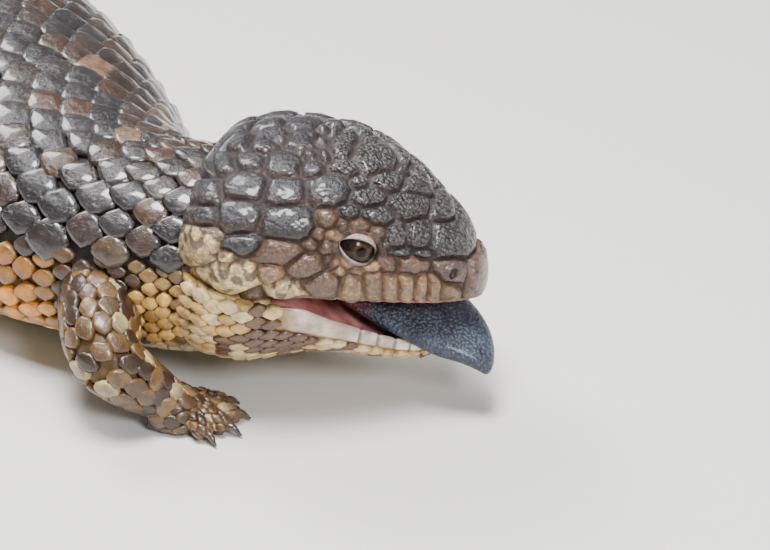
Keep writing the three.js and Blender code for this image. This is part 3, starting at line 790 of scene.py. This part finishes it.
def head_shell(u, v):
    """The skull's surface from the snout to behind the crown, closed at both ends."""
    along, radius = ends(v, 0.012)
    angle = (2 * u - 1) * math.pi
    back = shell_along(along)
    spots = skull(angle, back)
    middle = head_point(back, 0, cheek_rise(back) * 0.8)
    return middle + (spots - middle) * radius[..., None]


shields = wrapped("head_shields", 330, 210, head_shell)
shield_places = vertex_places(shields)
shield_normals = vertex_normals(shields)
shield_back, shield_right, shield_up = in_head(shield_places)
mirrored = head_point(shield_back, np.abs(shield_right), shield_up)
photo_x, photo_y = in_photo(mirrored)
plate, plate_share, plate_edge, plate_low = nearest_plates(photo_x, photo_y)
plate_edge = plate_edge * PHOTO_PIXEL
shield_angle = (2 * vertex_values(shields, "u") - 1) * math.pi
palate = step(*PALATE_EDGE, np.abs(shield_angle) / (math.pi / 2))
proud = step(0, EDGE_WIDTH, plate_edge)
dome = DOME_RISE * np.sqrt(np.clip(1 - (plate_share / DOME_SPREAD) ** 2, 0, 1))
lumps = np.sin(1.9 * shield_places[:, 0] + 3 * np.sin(1.3 * shield_places[:, 1]))
lumps = lumps * np.sin(2.3 * shield_places[:, 1] + 2 * np.sin(1.7 * shield_places[:, 2]))
relief = SHELL_LIFT + (proud - 1) * GROOVE_DEPTH + (dome - DOME_SINK + LUMP_RISE * lumps) * proud
relief = relief * (1 - palate) * step(0, 3, shield_back)

# The nostrils and ear openings are painted nearly black: painted shade inside the pits.
openings_painted_shade = np.zeros(len(shield_places))
for side in (1, -1):
    spot, across, up, out = eye_frame(side)
    local = shield_places - spot
    beside = np.hypot(local @ across / LID_BED_LONG, local @ up / LID_BED_TALL)
    near = local @ out > -6
    relief = relief + np.where(near, (-0.2 - relief) * step(1.5, 1.1, beside), 0)
    shield_places = shield_places - out * np.where(near, LID_BED_SINK * step(1.0, 0.75, beside), 0)[:, None]
    nostril = head_point(NOSTRIL[0], side * NOSTRIL[1], NOSTRIL[2])
    nose_gap = np.linalg.norm(shield_places - nostril, axis=1)
    hole = np.linalg.norm(shield_places - shield_places[np.argmin(nose_gap)], axis=1)
    relief = relief + 0.35 * step(NOSTRIL_RIM, 1.5, hole) - 1.3 * step(NOSTRIL_HOLE, 0.6, hole)
    openings_painted_shade = np.maximum(openings_painted_shade, step(1.1, 0.6, hole))
    drum = np.linalg.norm(shield_places - head_point(EAR[0], side * EAR[1], EAR[2]), axis=1)
    relief = relief - step(EAR_RADIUS, 1.6, drum)
    openings_painted_shade = np.maximum(openings_painted_shade, step(2.4, 1.2, drum))
move_vertices(shields, shield_places + shield_normals * relief[:, None])

shield_colour = plate_tones[plate] * plate_light[plate][:, None]
worn = plate_dark[plate] * step(0.45, 1.15, 0.75 * plate_share + 0.35 * plate_low) * 0.8
shield_colour = shield_colour + (WORN - shield_colour) * worn[:, None]
patches = np.sin(1.2 * shield_places[:, 0] + 1.5 * np.sin(0.9 * shield_places[:, 1]))
patches = patches * np.sin(1.4 * shield_places[:, 2] + 1.2 * np.sin(1.1 * shield_places[:, 0]))
blotch = plate_pale[plate] * step(0.12, 0.32, patches - 0.4 * plate_low + 0.1 * lumps) * 0.85
shield_colour = shield_colour + (BLOTCH - shield_colour) * blotch[:, None]
# Grooves: partly the dark skin between the plates, partly painted shade in the grooves.
groove_and_shade_colour = GROOVE_AND_SHADE + plate_tones[plate] * 0.2
shield_colour = groove_and_shade_colour + (shield_colour - groove_and_shade_colour) * step(0.03, 0.4, plate_edge)[:, None]
shield_colour = shield_colour + (GUM - shield_colour) * palate[:, None]
# Painted shade in the nostrils and ear openings.
shield_colour = shield_colour * (1 - 0.93 * openings_painted_shade)[:, None]
paint(shields, shield_colour)
FINISHES = {
    "rough": (0.35 + 0.65 * plate_rough[plate]) * proud * (1 - palate),
    "gloss": 0.4 * proud,
    "matt": 0.8 - 0.44 * proud,
}
for finish_name, finish in FINISHES.items():
    finish_layer = shields.data.attributes.new(finish_name, "FLOAT", "POINT")
    finish_layer.data.foreach_set("value", finish.astype(np.float32))

shield_material = hide_material(
    "head_shield_horn", roughness=0.36, coat=0.4, grain=2300, depth=0.00022, mottle=520, wrinkle=0.0005)
shield_surface = shield_material.node_tree.nodes["Principled BSDF"]
for socket, layer in (("Coat Weight", "gloss"), ("Roughness", "matt")):
    reader = shield_material.node_tree.nodes.new("ShaderNodeAttribute")
    reader.attribute_name = layer
    shield_material.node_tree.links.new(reader.outputs["Fac"], shield_surface.inputs[socket])


def speckle_with_painted_light(material, scale, depth, middle, rim, mask=None):
    """Small granules all over a material: painted glints in their middles, painted shade between them."""
    nodes = material.node_tree.nodes
    links = material.node_tree.links
    surface = nodes["Principled BSDF"]
    granules = nodes.new("ShaderNodeTexVoronoi")
    granules.inputs["Scale"].default_value = scale
    links.new(nodes["where"].outputs["Object"], granules.inputs["Vector"])
    pattern = granules.outputs["Distance"]
    under = surface.inputs["Normal"].links[0].from_socket
    bump = raised(material, pattern, depth, under)
    bump.invert = True
    links.new(bump.outputs["Normal"], surface.inputs["Normal"])
    base = surface.inputs["Base Color"].links[0].from_socket
    spots = shaded(material, base, pattern, (0.12, middle), (0.60, rim))
    spots.inputs["Factor"].default_value = 1.0
    if mask:
        share = nodes.new("ShaderNodeAttribute")
        share.attribute_name = mask
        links.new(share.outputs["Fac"], spots.inputs["Factor"])
        links.new(share.outputs["Fac"], bump.inputs["Strength"])


# The rough and grey plates get painted glints on their granules and painted shade between them.
speckle_with_painted_light(shield_material, scale=1350, depth=0.00050,
        middle=(2.3, 2.2, 2.2), rim=(0.35, 0.32, 0.30), mask="rough")
shields.data.materials.append(shield_material)
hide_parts("head")
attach(shields, "root")

# Eyes
# Each eye is a moist brown ball, nearly hidden by its lids, with a round black pupil in a brown iris.
# The gaze is outward, a little forward and level.
EYES = {"eye_right": 1, "eye_left": -1}


def ball(name, middle, radius, around, rings):
    """A round ball about its middle, all in millimetres."""
    made = bmesh.new()
    bmesh.ops.create_uvsphere(made, u_segments=around, v_segments=rings, radius=radius * MM)
    for face in made.faces:
        face.smooth = True
    piece = as_piece(made, name)
    move_vertices(piece, vertex_places(piece) + middle)
    return piece


PUPIL_REACH = (14, 17)
IRIS_REACH = (20, 30)
RIM_REACH = (36, 42)
PUPIL_BLACK = 0.001
iris = np.array((0.016, 0.008, 0.004))
iris_ring = np.array((0.050, 0.026, 0.011))
eye_rim = np.array((0.008, 0.005, 0.004))
eye_material = hide_material(
    "eye", roughness=0.25, coat=0.25, grain=2500, depth=0.00001, mottle=1600)
eye_surface = eye_material.node_tree.nodes["Principled BSDF"]
eye_surface.inputs["Coat Roughness"].default_value = 0.03
eye_surface.inputs["Specular IOR Level"].default_value = 0.1
for eye_name, side in EYES.items():
    middle = head_point(EYE[0], side * EYE[1], EYE[2])
    eye = ball(eye_name + "_ball", middle, EYE_RADIUS, 64, 48)
    spot, across, up, out = eye_frame(side)
    gaze = unit(spot - across * 0.1 + up * 0.1 + out * 2 - middle)
    off = np.degrees(np.arccos(np.clip(unit(vertex_places(eye) - middle) @ gaze, -1, 1)))
    tone = iris_ring + (iris - iris_ring) * step(*IRIS_REACH, off)[:, None]
    tone = tone * step(*PUPIL_REACH, off)[:, None] + PUPIL_BLACK
    tone = tone + (eye_rim - tone) * step(*RIM_REACH, off)[:, None]
    paint(eye, tone)
    eye.data.materials.append(eye_material)
    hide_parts(eye_name)
    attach(eye, "root")

# Eyelids
# A thick fold of skin above the eye and a thinner one below meet in two corners; both are pale, with
# rows of small granules, and lie on the ball.
LID_LONG = (3.9, 5.8)
LID_TALL = (2.0, 3.9)
LID_FOLD = 0.75
LID_MARGIN = 0.3
BEAD_RISE = 0.12
BEADS_HALF_ROUND = 15
LID_SEAT = 0.25
LID_TUCK = 1.6
# Painted shade for the lids' creases.
crease_painted_shade = np.array((0.070, 0.040, 0.028))
fold_tone = np.array((0.150, 0.085, 0.055))
upper_tone = np.array((0.24, 0.20, 0.19))
lower_tone = np.array((0.33, 0.27, 0.22))
lid_material = hide_material(
    "eyelid", roughness=0.42, coat=0.35, grain=1600, depth=0.00010, mottle=500)
for eye_name, side in EYES.items():
    spot, across, up, out = eye_frame(side)
    middle = head_point(EYE[0], side * EYE[1], EYE[2]) - spot
    eye_a, eye_b, eye_c = middle @ across, middle @ up, middle @ out

    def lid(u, v, spot=spot, across=across, up=up, out=out, eye_a=eye_a, eye_b=eye_b, eye_c=eye_c):
        """Both lids as one ring: v runs from the slit outwards over the fold, and back underneath."""
        turn = 2 * math.pi * u
        outward = np.minimum(v / 0.5, 1)
        under = np.clip((v - 0.5) / 0.5, 0, 1)
        share = outward * (1 - under)
        long = LID_LONG[0] + (LID_LONG[1] - LID_LONG[0]) * share
        tall = LID_TALL[0] + (LID_TALL[1] - LID_TALL[0]) * share
        a = long * np.cos(turn)
        b = tall * np.sin(turn) * (1 - 0.12 * np.cos(turn) ** 2)
        beside = (a - eye_a) ** 2 + (b - eye_b) ** 2
        ball_high = eye_c + np.sqrt(np.maximum(EYE_RADIUS ** 2 - beside, 0.4))
        fold = LID_FOLD * np.sin(np.pi * np.clip(share * 1.25, 0, 1))
        fold = fold + LID_MARGIN * np.sin(np.pi * np.clip(share * 2.6, 0, 1))
        bead = BEAD_RISE * np.abs(np.sin(turn * BEADS_HALF_ROUND))
        bead = bead * np.sin(np.pi * np.clip(share * 1.4, 0, 1))
        shell = 0.1 - 0.5 * share
        over = ball_high - LID_SEAT + fold + bead
        blend = step(0.45, 1.0, share)
        c = over + (shell - over) * blend
        c = c - LID_TUCK * step(0, 0.3, under) * (1 - step(0.85, 1.0, under) * 0.2)
        return spot + across * a[..., None] + up * b[..., None] + out * c[..., None]

    lids = wrapped(eye_name + "_lids", 120, 40, lid)
    lid_v = vertex_values(lids, "v") * 2
    lid_turn = vertex_values(lids, "u") * 2 * math.pi
    upper = step(-0.1, 0.3, np.sin(lid_turn))
    pale = upper_tone * upper[:, None] + lower_tone * (1 - upper)[:, None]
    # The slit's edge and the crease where the fold meets the head are painted dark: painted shade.
    crease_shade_mask = np.maximum(step(0.12, 0.04, lid_v), step(0.60, 0.72, lid_v))
    tone = pale + (crease_painted_shade - pale) * crease_shade_mask[:, None]
    tone = tone + (fold_tone - tone) * step(0.74, 0.84, lid_v)[:, None]
    paint(lids, tone)
    lids.data.materials.append(lid_material)
    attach(lids, "root")

# Tongue
# A broad, thick muscle with a furrow along its middle, deep blue and velvety with fine papillae, and
# mauve towards its root on the floor of the mouth. It hangs over the lip and down past the chin.
tongue_path = path([
    head_point(33, 0, -2), head_point(25, 0, -2.9), head_point(17, 0.4, -4.6), head_point(9, 1, -6),
    head_point(2, 2.4, -7), head_point(-2, 4, -8.8), head_point(-3.2, 5, -11.6)])
tongue_half_width = curve((0, 7), (0.3, 10.4), (0.6, 11), (0.82, 9), (0.94, 6.4), (1, 3))
tongue_half_depth = curve((0, 2), (0.3, 3.6), (0.6, 4.2), (0.85, 3.2), (1, 1.5))
FURROW_DEPTH = 0.55
FURROW_WIDTH = 0.16


def tongue_surface(angle, along):
    ahead = unit(tongue_path(along + ROUTE_STEP) - tongue_path(along - ROUTE_STEP))
    right = unit(stacked(0.25 * along, -1 + 0 * along, -0.3 * along))
    up = unit(np.cross(ahead, right))
    across = (np.sin(angle) * tongue_half_width(along))[..., None]
    furrow = FURROW_DEPTH * np.exp(-(np.sin(angle) / FURROW_WIDTH) ** 2)
    furrow = furrow * (np.cos(angle) > 0) * step(0.2, 0.6, along)
    high = (np.cos(angle) * tongue_half_depth(along) - furrow)[..., None]
    return tongue_path(along) + right * across + up * high


def rounded_ends(u, v):
    along, radius = ends(v, 0.05)
    angle = (2 * u - 1) * math.pi
    spots = tongue_surface(angle, along)
    middles = tongue_path(along)
    return middles + (spots - middles) * np.sqrt(1 - (1 - radius) ** 2)[..., None]


tongue = wrapped("tongue_muscle", 150, 150, rounded_ends)
tongue_v = vertex_values(tongue, "v")
blue = np.array((0.042, 0.060, 0.092))
mauve = np.array((0.42, 0.13, 0.15))
paint(tongue, mauve + (blue - mauve) * step(0.12, 0.34, tongue_v)[:, None])
tongue_material = hide_material(
    "tongue_flesh", roughness=0.5, coat=0.15, grain=2200, depth=0.00010, mottle=300)
# The papillae are painted lighter in their middles and darker between them: painted light and shade.
speckle_with_painted_light(tongue_material, scale=1500, depth=0.00035, middle=(1.5, 1.5, 1.5), rim=(0.45, 0.45, 0.5))
tongue.data.materials.append(tongue_material)
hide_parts("tongue")
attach(tongue, "root")

# Scales of the body
# The neck, trunk and tail wear large horny scales in staggered rings that overlap tailwards like the
# scales of a pine cone: dark, ridged and glossy on the back, knobbly and golden on the flanks, low and
# pale under the belly. Each is one small solid, its root in the skin.
BAKE_PATCH = 0.0015
SCALE_CORNERS = 6
CORNER_SHARE = 0.07
KEEL_WIDTH = 0.28
SCALE_LUMP = 0.16
SCALE_FLOOR = 0.05


def frames_on(surface, angle, at, reach=0.5):
    """Spots on a surface with their tailward, sideways and outward directions."""
    spot = surface(angle, at)
    lie = unit(surface(angle, at + reach) - surface(angle, at - reach))
    around = surface(angle + 0.03, at) - surface(angle - 0.03, at)
    out = unit(np.cross(lie, around))
    return spot, lie, np.cross(out, lie), out


def shared_out(surface, at, pitch, shift, first=-math.pi, last=math.pi):
    """Angles that share out a ring of the surface evenly, one scale to each pitch."""
    angles = np.linspace(first, last, 181)
    spots = surface(angles, np.full(181, float(at)))
    far = np.concatenate([[0], np.cumsum(np.linalg.norm(np.diff(spots, axis=0), axis=1))])
    count = max(3, round(far[-1] / pitch))
    wanted = (np.arange(count) + shift) / count * far[-1]
    return np.interp(wanted, far, angles), far[-1] / count


def laid(name, spots, shape, colours, bakes, around=10, rings=6):
    """One joined piece of scales: a ball copied to every spot and pressed to its scale's shape."""
    spot, lie, across, out = spots
    made = bmesh.new()
    bmesh.ops.create_uvsphere(made, u_segments=around, v_segments=rings, radius=1)
    for face in made.faces:
        face.smooth = True
    piece = as_piece(made, name)
    copies = piece.modifiers.new("Copies", "ARRAY")
    copies.count = len(spot)
    copies.use_relative_offset = False
    copies.use_constant_offset = True
    copies.constant_offset_displace = (0, 0, 0)
    settle(piece)
    unit_places = (vertex_places(piece) * MM).reshape(len(spot), -1, 3)
    length, width, rise, root, tilt, keel, taper = (np.asarray(value, float)[:, None] for value in shape)
    x, y, z = unit_places[..., 0], unit_places[..., 1], unit_places[..., 2]
    flat = np.hypot(x, y)
    stretch = np.where(flat > 1e-6, np.sqrt(np.clip(flat, 0, 1)) / np.maximum(flat, 1e-6), 1)
    corner = 1 + CORNER_SHARE * np.cos(SCALE_CORNERS * np.arctan2(y, x) + math.pi)
    x = x * stretch * corner
    y = y * stretch * corner
    narrow = 1 - taper * np.clip(x, 0, 1) ** 2
    high = np.where(z > 0, rise * np.abs(z) ** 0.6, -root * np.abs(z) ** 0.5)
    high = high + np.where(z > 0, keel * rise * z * np.exp(-(y / KEEL_WIDTH) ** 2), 0)
    phase = np.arange(len(spot))[:, None] * 2.4
    lumpy = np.sin(4.1 * x + phase) * np.sin(5.3 * y + 1.7 * phase)
    high = high + np.where(z > 0, SCALE_LUMP * rise * z * lumpy, 0)
    high = high + tilt * (x + 0.2) * length / 2 * np.where(z > -0.3, 1, 0.4)
    placed = spot[:, None] + lie[:, None] * (x * length / 2)[..., None]
    placed = placed + across[:, None] * (y * narrow * width / 2)[..., None] + out[:, None] * high[..., None]
    placed[..., 2] = np.maximum(placed[..., 2], SCALE_FLOOR)
    move_vertices(piece, placed.reshape(-1, 3))
    # Each scale is painted lighter on its crest and darker towards its root: painted light and shade.
    tip = np.clip(0.82 + 0.3 * z, 0.45, 1.1)
    paint(piece, (colours[:, None] * tip[..., None]).reshape(-1, 3))
    bake = piece.data.uv_layers.new(name="OFBake")
    corners = np.empty(len(piece.data.loops), np.int32)
    piece.data.loops.foreach_get("vertex_index", corners)
    patch = unit_places[..., :2] * BAKE_PATCH + bakes[:, None]
    bake.data.foreach_set("uv", patch.reshape(-1, 2)[corners].astype(np.float32).ravel())
    return piece


back_pitch = curve((52, 5.4), (66, 6.2), (90, 7.4), (120, 8.4), (230, 8.6), (300, 8.2), (346, 6.2))
side_pitch = curve((52, 2.8), (66, 3.3), (84, 4.6), (110, 6.0), (230, 6.4), (300, 7.4), (346, 5.6))
BACK_EDGE = 1.22
FLANK_EDGE = 2.05
ROW_SHARE = 0.86
body_chances = np.random.default_rng(11)


def zone_rows(pitch_at, first, last, start):
    """Staggered rows of scales over a zone of the body from its first to its last angle."""
    rows = []
    at = start
    while at < TOTAL_LENGTH - 3.5:
        pitch = float(pitch_at(at))
        angles, wide = shared_out(body, at, pitch, 0.25 + 0.5 * (len(rows) % 2), first, last)
        many = len(angles)
        rows.append(np.stack([
            angles + body_chances.normal(0, 0.012, many), at + body_chances.normal(0, 0.22, many),
            np.full(many, wide), np.full(many, pitch * ROW_SHARE)], axis=1))
        at += pitch * ROW_SHARE
    return np.concatenate(rows)


horn_back = hide_material(
    "back_scale_horn", roughness=0.24, coat=0.7, grain=1300, depth=0.00030, mottle=380, wrinkle=0.0007)
horn_flank = hide_material(
    "flank_scale_horn", roughness=0.36, coat=0.35, grain=1500, depth=0.00016, mottle=420, wrinkle=0.0003)
horn_belly = hide_material(
    "belly_scale_horn", roughness=0.42, coat=0.25, grain=1400, depth=0.00006, mottle=420)


SCALE_ROOT = 1.3
SKIN_BELOW = 0.35


def coat_piece(name, table, kind, material):
    """One piece of the coat, from the table of its scales' angles, lengths along, widths and steps."""
    angle, at, pitch, step_here = table.T
    many = len(table)
    luck = body_chances.uniform(0.9, 1.1, (3, many))
    length = step_here * kind["length"] * luck[0]
    width = pitch * kind["width"] * luck[1]
    rise = kind["rise"] * np.minimum(1, pitch / 6.5) * luck[2]
    shape = (length, width, rise, np.full(many, SCALE_ROOT), np.full(many, kind["tilt"]),
             np.full(many, kind["keel"]), np.full(many, kind["taper"]))
    signed = (angle + math.pi) % (2 * math.pi) - math.pi
    colours = coat_colour(signed, at, body_chances.uniform(0, 1, many))
    colours = colours * body_chances.uniform(0.5, 1.3, many)[:, None]
    bakes = np.stack([angle / (2 * math.pi) + 0.5, at / TOTAL_LENGTH], axis=1)
    spots = frames_on(lambda around, along: body(around, along, SKIN_BELOW), angle, at)
    piece = laid(name, spots, shape, colours, bakes, kind["around"], kind["rings"])
    piece.data.materials.append(material)
    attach(piece, "root")


BACK_KIND = dict(length=1.62, width=1.13, rise=1.3, tilt=0.17, keel=0.3, taper=0.4, around=10, rings=6)
FLANK_KIND = dict(length=1.42, width=1.02, rise=1.5, tilt=0.14, keel=0.0, taper=0.3, around=10, rings=6)
BELLY_KIND = dict(length=1.55, width=1.1, rise=0.6, tilt=0.06, keel=0.0, taper=0.25, around=8, rings=5)
COAT = (
    ("back_scales", back_pitch, -BACK_EDGE, BACK_EDGE, 53.5, BACK_KIND, horn_back),
    ("right_flank_scales", side_pitch, BACK_EDGE, FLANK_EDGE, 54, FLANK_KIND, horn_flank),
    ("left_flank_scales", side_pitch, -FLANK_EDGE, -BACK_EDGE, 54, FLANK_KIND, horn_flank),
    ("belly_scales", side_pitch, FLANK_EDGE, 2 * math.pi - FLANK_EDGE, 54, BELLY_KIND, horn_belly),
)
for coat_name, pitch_at, first, last, start, kind, horn in COAT:
    coat_piece(coat_name, zone_rows(pitch_at, first, last, start), kind, horn)

# Scales of the lower jaw
# The lining of the mouth turns over the lip as a row of pale plates with dark seams between them. Below
# it lie rows of cream, tan and brown beads, small on the chin and larger towards the throat.
LIP_BACKS = np.array((9.5, 12.3, 15.3, 18.6, 22.2))
LIP_TOP = 1.36
LIP_FOOT = 1.86
LIP_RELIEF = 0.45
SEAM_RELIEF = 0.3
THROAT_BACK = 58
LINING_LIFT = 0.25


def jaw_shell(u, v):
    """The lower jaw's surface from the chin to the throat, closed at both ends."""
    along, radius = ends(v, 0.03)
    angle = (2 * u - 1) * math.pi
    back = CHIN - 0.2 + (THROAT_BACK - CHIN) * along
    spots = jaw(angle, back, LINING_LIFT)
    middle = (jaw(0 * angle, back) + jaw(0 * angle + math.pi, back)) / 2
    return middle + (spots - middle) * radius[..., None]


lip = wrapped("jaw_lining", 150, 150, jaw_shell)
lip_places = vertex_places(lip)
lip_back, _, _ = in_head(lip_places)
lip_turn = np.abs((2 * vertex_values(lip, "u") - 1) * math.pi)
on_lip = step(LIP_TOP - 0.12, LIP_TOP, lip_turn) * step(LIP_FOOT + 0.06, LIP_FOOT - 0.06, lip_turn)
on_lip = on_lip * step(38, 33, lip_back)
seam = np.min(np.abs(lip_back[:, None] - LIP_BACKS[None]), axis=1)
lip_relief = on_lip * (LIP_RELIEF - SEAM_RELIEF * step(0.5, 0.1, seam))
move_vertices(lip, lip_places + vertex_normals(lip) * lip_relief[:, None])
gum_here = step(LIP_TOP, LIP_TOP - 0.25, lip_turn) * step(44, 40, lip_back)
lip_white = np.array((0.70, 0.55, 0.46))
lip_tone = SAND * 0.5 + (lip_white - SAND * 0.5) * on_lip[:, None]
in_seam = on_lip * step(0.32, 0.12, seam) * step(1.5, 1.62, lip_turn)
lip_tone = lip_tone + (UMBER * 1.5 - lip_tone) * in_seam[:, None]
lip_tone = lip_tone + (GUM - lip_tone) * gum_here[:, None]
paint(lip, lip_tone)
lining_material = hide_material(
    "mouth_lining", roughness=0.3, coat=0.5, grain=1800, depth=0.00005, mottle=300)
lip.data.materials.append(lining_material)
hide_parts("lower_jaw")
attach(lip, "root")

BEAD_PITCH = 2.6
BEAD_GROWTH = 0.5
FIRST_BEADS = CHIN + 1.6
LAST_BEADS = 57.5
jaw_chances = np.random.default_rng(5)
jaw_rows = []
ring_back = FIRST_BEADS
while ring_back < LAST_BEADS:
    pitch = BEAD_PITCH + BEAD_GROWTH * step(20, 50, np.float64(ring_back))
    angles, wide = shared_out(jaw, ring_back, float(pitch), 0.5 if len(jaw_rows) % 2 else 0.0)
    edge = 1.9 - 0.95 * step(36, 41, np.float64(ring_back))
    keep = np.abs(angles) > edge
    jaw_rows.append(np.stack([
        angles[keep], np.full(keep.sum(), ring_back), np.full(keep.sum(), wide)], axis=1))
    ring_back += float(pitch) * 0.95
jaw_table = np.concatenate(jaw_rows)
many = len(jaw_table)
jaw_luck = jaw_chances.uniform(0.88, 1.15, (4, many))
bead_colour = SAND + (CREAM - SAND) * jaw_chances.uniform(0, 1, many)[:, None]
brown_patch = step(24, 34, jaw_table[:, 1]) * step(47, 40, jaw_table[:, 1])
brown_patch = brown_patch * step(2.5, 2.2, np.abs(jaw_table[:, 0]))
dark_bead = jaw_chances.uniform(0, 1, many) < 0.08 + 0.7 * brown_patch
bead_colour[dark_bead] = UMBER * 2.6
bead_shape = (
    jaw_table[:, 2] * 1.45 * jaw_luck[0], jaw_table[:, 2] * jaw_luck[1], 0.7 * jaw_luck[2],
    np.full(many, 1.2), np.full(many, 0.1), np.full(many, 0.0), np.full(many, 0.3))
bead_bakes = np.stack([jaw_table[:, 0] / (2 * math.pi) + 0.5, jaw_table[:, 1] / 60], axis=1)
bead_spots = frames_on(jaw, jaw_table[:, 0], jaw_table[:, 1])
jaw_beads = laid("jaw_scales", bead_spots, bead_shape, bead_colour, bead_bakes)
jaw_beads.data.materials.append(horn_flank)
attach(jaw_beads, "root")

# Scales of the legs
# Rounded, glossy horny scales lie in rings round each leg, brown mottled with tan and cream, with small
# ones on the toes. Each is one small solid, its root in the skin.
LEG_PITCHES = (3.7, 2.9, 1.7)
LEG_STARTS = (0.16, 0.1, 0.1)
RING_SHARE = 0.85
DARK_CHANCE = 0.26
CREAM_CHANCE = 0.93
leg_chances = np.random.default_rng(3)
for leg_name, leg_plan in LEGS.items():
    arm_route, pad_route, toe_routes, _ = leg_parts(leg_plan)
    spots = []
    sizes = []
    bakes = []
    for part, (route, thickness) in enumerate([arm_route, pad_route, *toe_routes]):
        surface = tube(route, thickness, 0.3)
        length = np.linalg.norm(np.diff(route(np.linspace(0, 1, 60)), axis=0), axis=1).sum()
        pitch = LEG_PITCHES[min(part, 2)]
        ring_shares = np.arange(LEG_STARTS[min(part, 2)], 0.99, pitch * RING_SHARE / length)
        for ring, share in enumerate(ring_shares):
            angles, ring_pitch = shared_out(surface, share, pitch, 0.5 * (ring % 2), 0, 2 * math.pi)
            frames = frames_on(surface, angles, np.full(len(angles), share), 0.02)
            spots.append(np.stack(frames, axis=1))
            sizes.append(np.full(len(angles), ring_pitch))
            strip = np.full(len(angles), (part + share) / (2 + len(toe_routes)))
            bakes.append(np.stack([angles / (2 * math.pi), strip], axis=1))
    spots = np.concatenate(spots)
    sizes = np.concatenate(sizes)
    bakes = np.concatenate(bakes)
    many = len(sizes)
    luck = leg_chances.uniform(0.88, 1.15, (3, many))
    mottle = leg_chances.uniform(0, 1, many)
    tone = UMBER * 2.2 + (SAND * 0.8 - UMBER * 2.2) * (0.1 + 0.65 * mottle ** 1.5)[:, None]
    tone = np.where((mottle > CREAM_CHANCE)[:, None], CREAM * 0.9, tone)
    tone = tone * leg_chances.uniform(0.8, 1.2, many)[:, None]
    tone = np.where((leg_chances.uniform(0, 1, many) < DARK_CHANCE)[:, None], UMBER * 1.3, tone)
    shape = (
        sizes * 1.5 * luck[0], sizes * 1.15 * luck[1], sizes * 0.22 * luck[2], np.full(many, 0.9),
        np.full(many, 0.1), np.full(many, 0.1), np.full(many, 0.3))
    lies = (spots[:, 0], spots[:, 1], spots[:, 2], spots[:, 3])
    leg_scales = laid(leg_name + "_leg_scales", lies, shape, tone, bakes)
    leg_scales.data.materials.append(horn_flank)
    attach(leg_scales, "root")

# Claws
# A short, curved, dark claw of solid horn ends each of the twenty toes, rooted under its last scale.
# Each is a tapered tube drawn out to a blunt point.
claw_root_tone = np.array((0.11, 0.07, 0.045))
claw_horn = hide_material(
    "claw_horn", roughness=0.3, coat=0.5, grain=1500, depth=0.00003, mottle=900)
for leg_name, leg_plan in LEGS.items():
    for toe, (route, thickness) in enumerate(leg_parts(leg_plan)[3]):
        claw = wrapped(f"{leg_name}_claw_{toe + 1}", 14, 24, capped(tube(route, thickness), 0, 1))
        places = vertex_places(claw)
        places[:, 2] = np.maximum(places[:, 2], SCALE_FLOOR)
        move_vertices(claw, places)
        share = vertex_values(claw, "v")
        paint(claw, claw_root_tone * (1 - 0.7 * share)[:, None])
        claw.data.materials.append(claw_horn)
        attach(claw, "root")

# Floor, light and camera
# A plain pale floor, soft studio lights with a bright one above for the gloss of the scales, and the
# camera where the photograph was taken from.
floor_made = bmesh.new()
bmesh.ops.create_grid(floor_made, x_segments=1, y_segments=1, size=4)
floor = as_piece(floor_made, "floor")
floor_material = bpy.data.materials.new("pale_floor")
floor_material.use_nodes = True
floor_surface = floor_material.node_tree.nodes["Principled BSDF"]
floor_surface.inputs["Base Color"].default_value = (0.62, 0.61, 0.59, 1)
floor_surface.inputs["Roughness"].default_value = 0.9
floor.data.materials.append(floor_material)

world = bpy.data.worlds.new("studio")
world.use_nodes = True
world.node_tree.nodes["Background"].inputs["Color"].default_value = (1.0, 0.99, 0.97, 1)
world.node_tree.nodes["Background"].inputs["Strength"].default_value = 0.3
bpy.context.scene.world = world
LIGHTS = {
    "sky_panel": ((-0.05, -0.10, 0.75), 0.28, 15),
    "key_panel": ((0.45, -0.60, 0.55), 0.22, 8),
    "rim_panel": ((-0.45, 0.35, 0.55), 0.30, 6),
}
look_at = Vector(CAMERA_TARGET * MM)
for light_name, (place, size, power) in LIGHTS.items():
    lamp = bpy.data.lights.new(light_name, "AREA")
    lamp.size = size
    lamp.energy = power
    light = bpy.data.objects.new(light_name, lamp)
    light.location = look_at + Vector(place)
    light.rotation_euler = Vector(place).to_track_quat("Z", "Y").to_euler()
    bpy.context.scene.collection.objects.link(light)

lens = bpy.data.cameras.new("camera")
lens.lens = CAMERA_LENS
lens.sensor_width = SENSOR
lens.clip_start = 0.01
camera = bpy.data.objects.new("camera", lens)
camera.location = look_at + Vector(toward_camera) * CAMERA_DISTANCE * MM
camera.rotation_euler = Vector(toward_camera).to_track_quat("Z", "Y").to_euler()
bpy.context.scene.collection.objects.link(camera)
bpy.context.scene.camera = camera
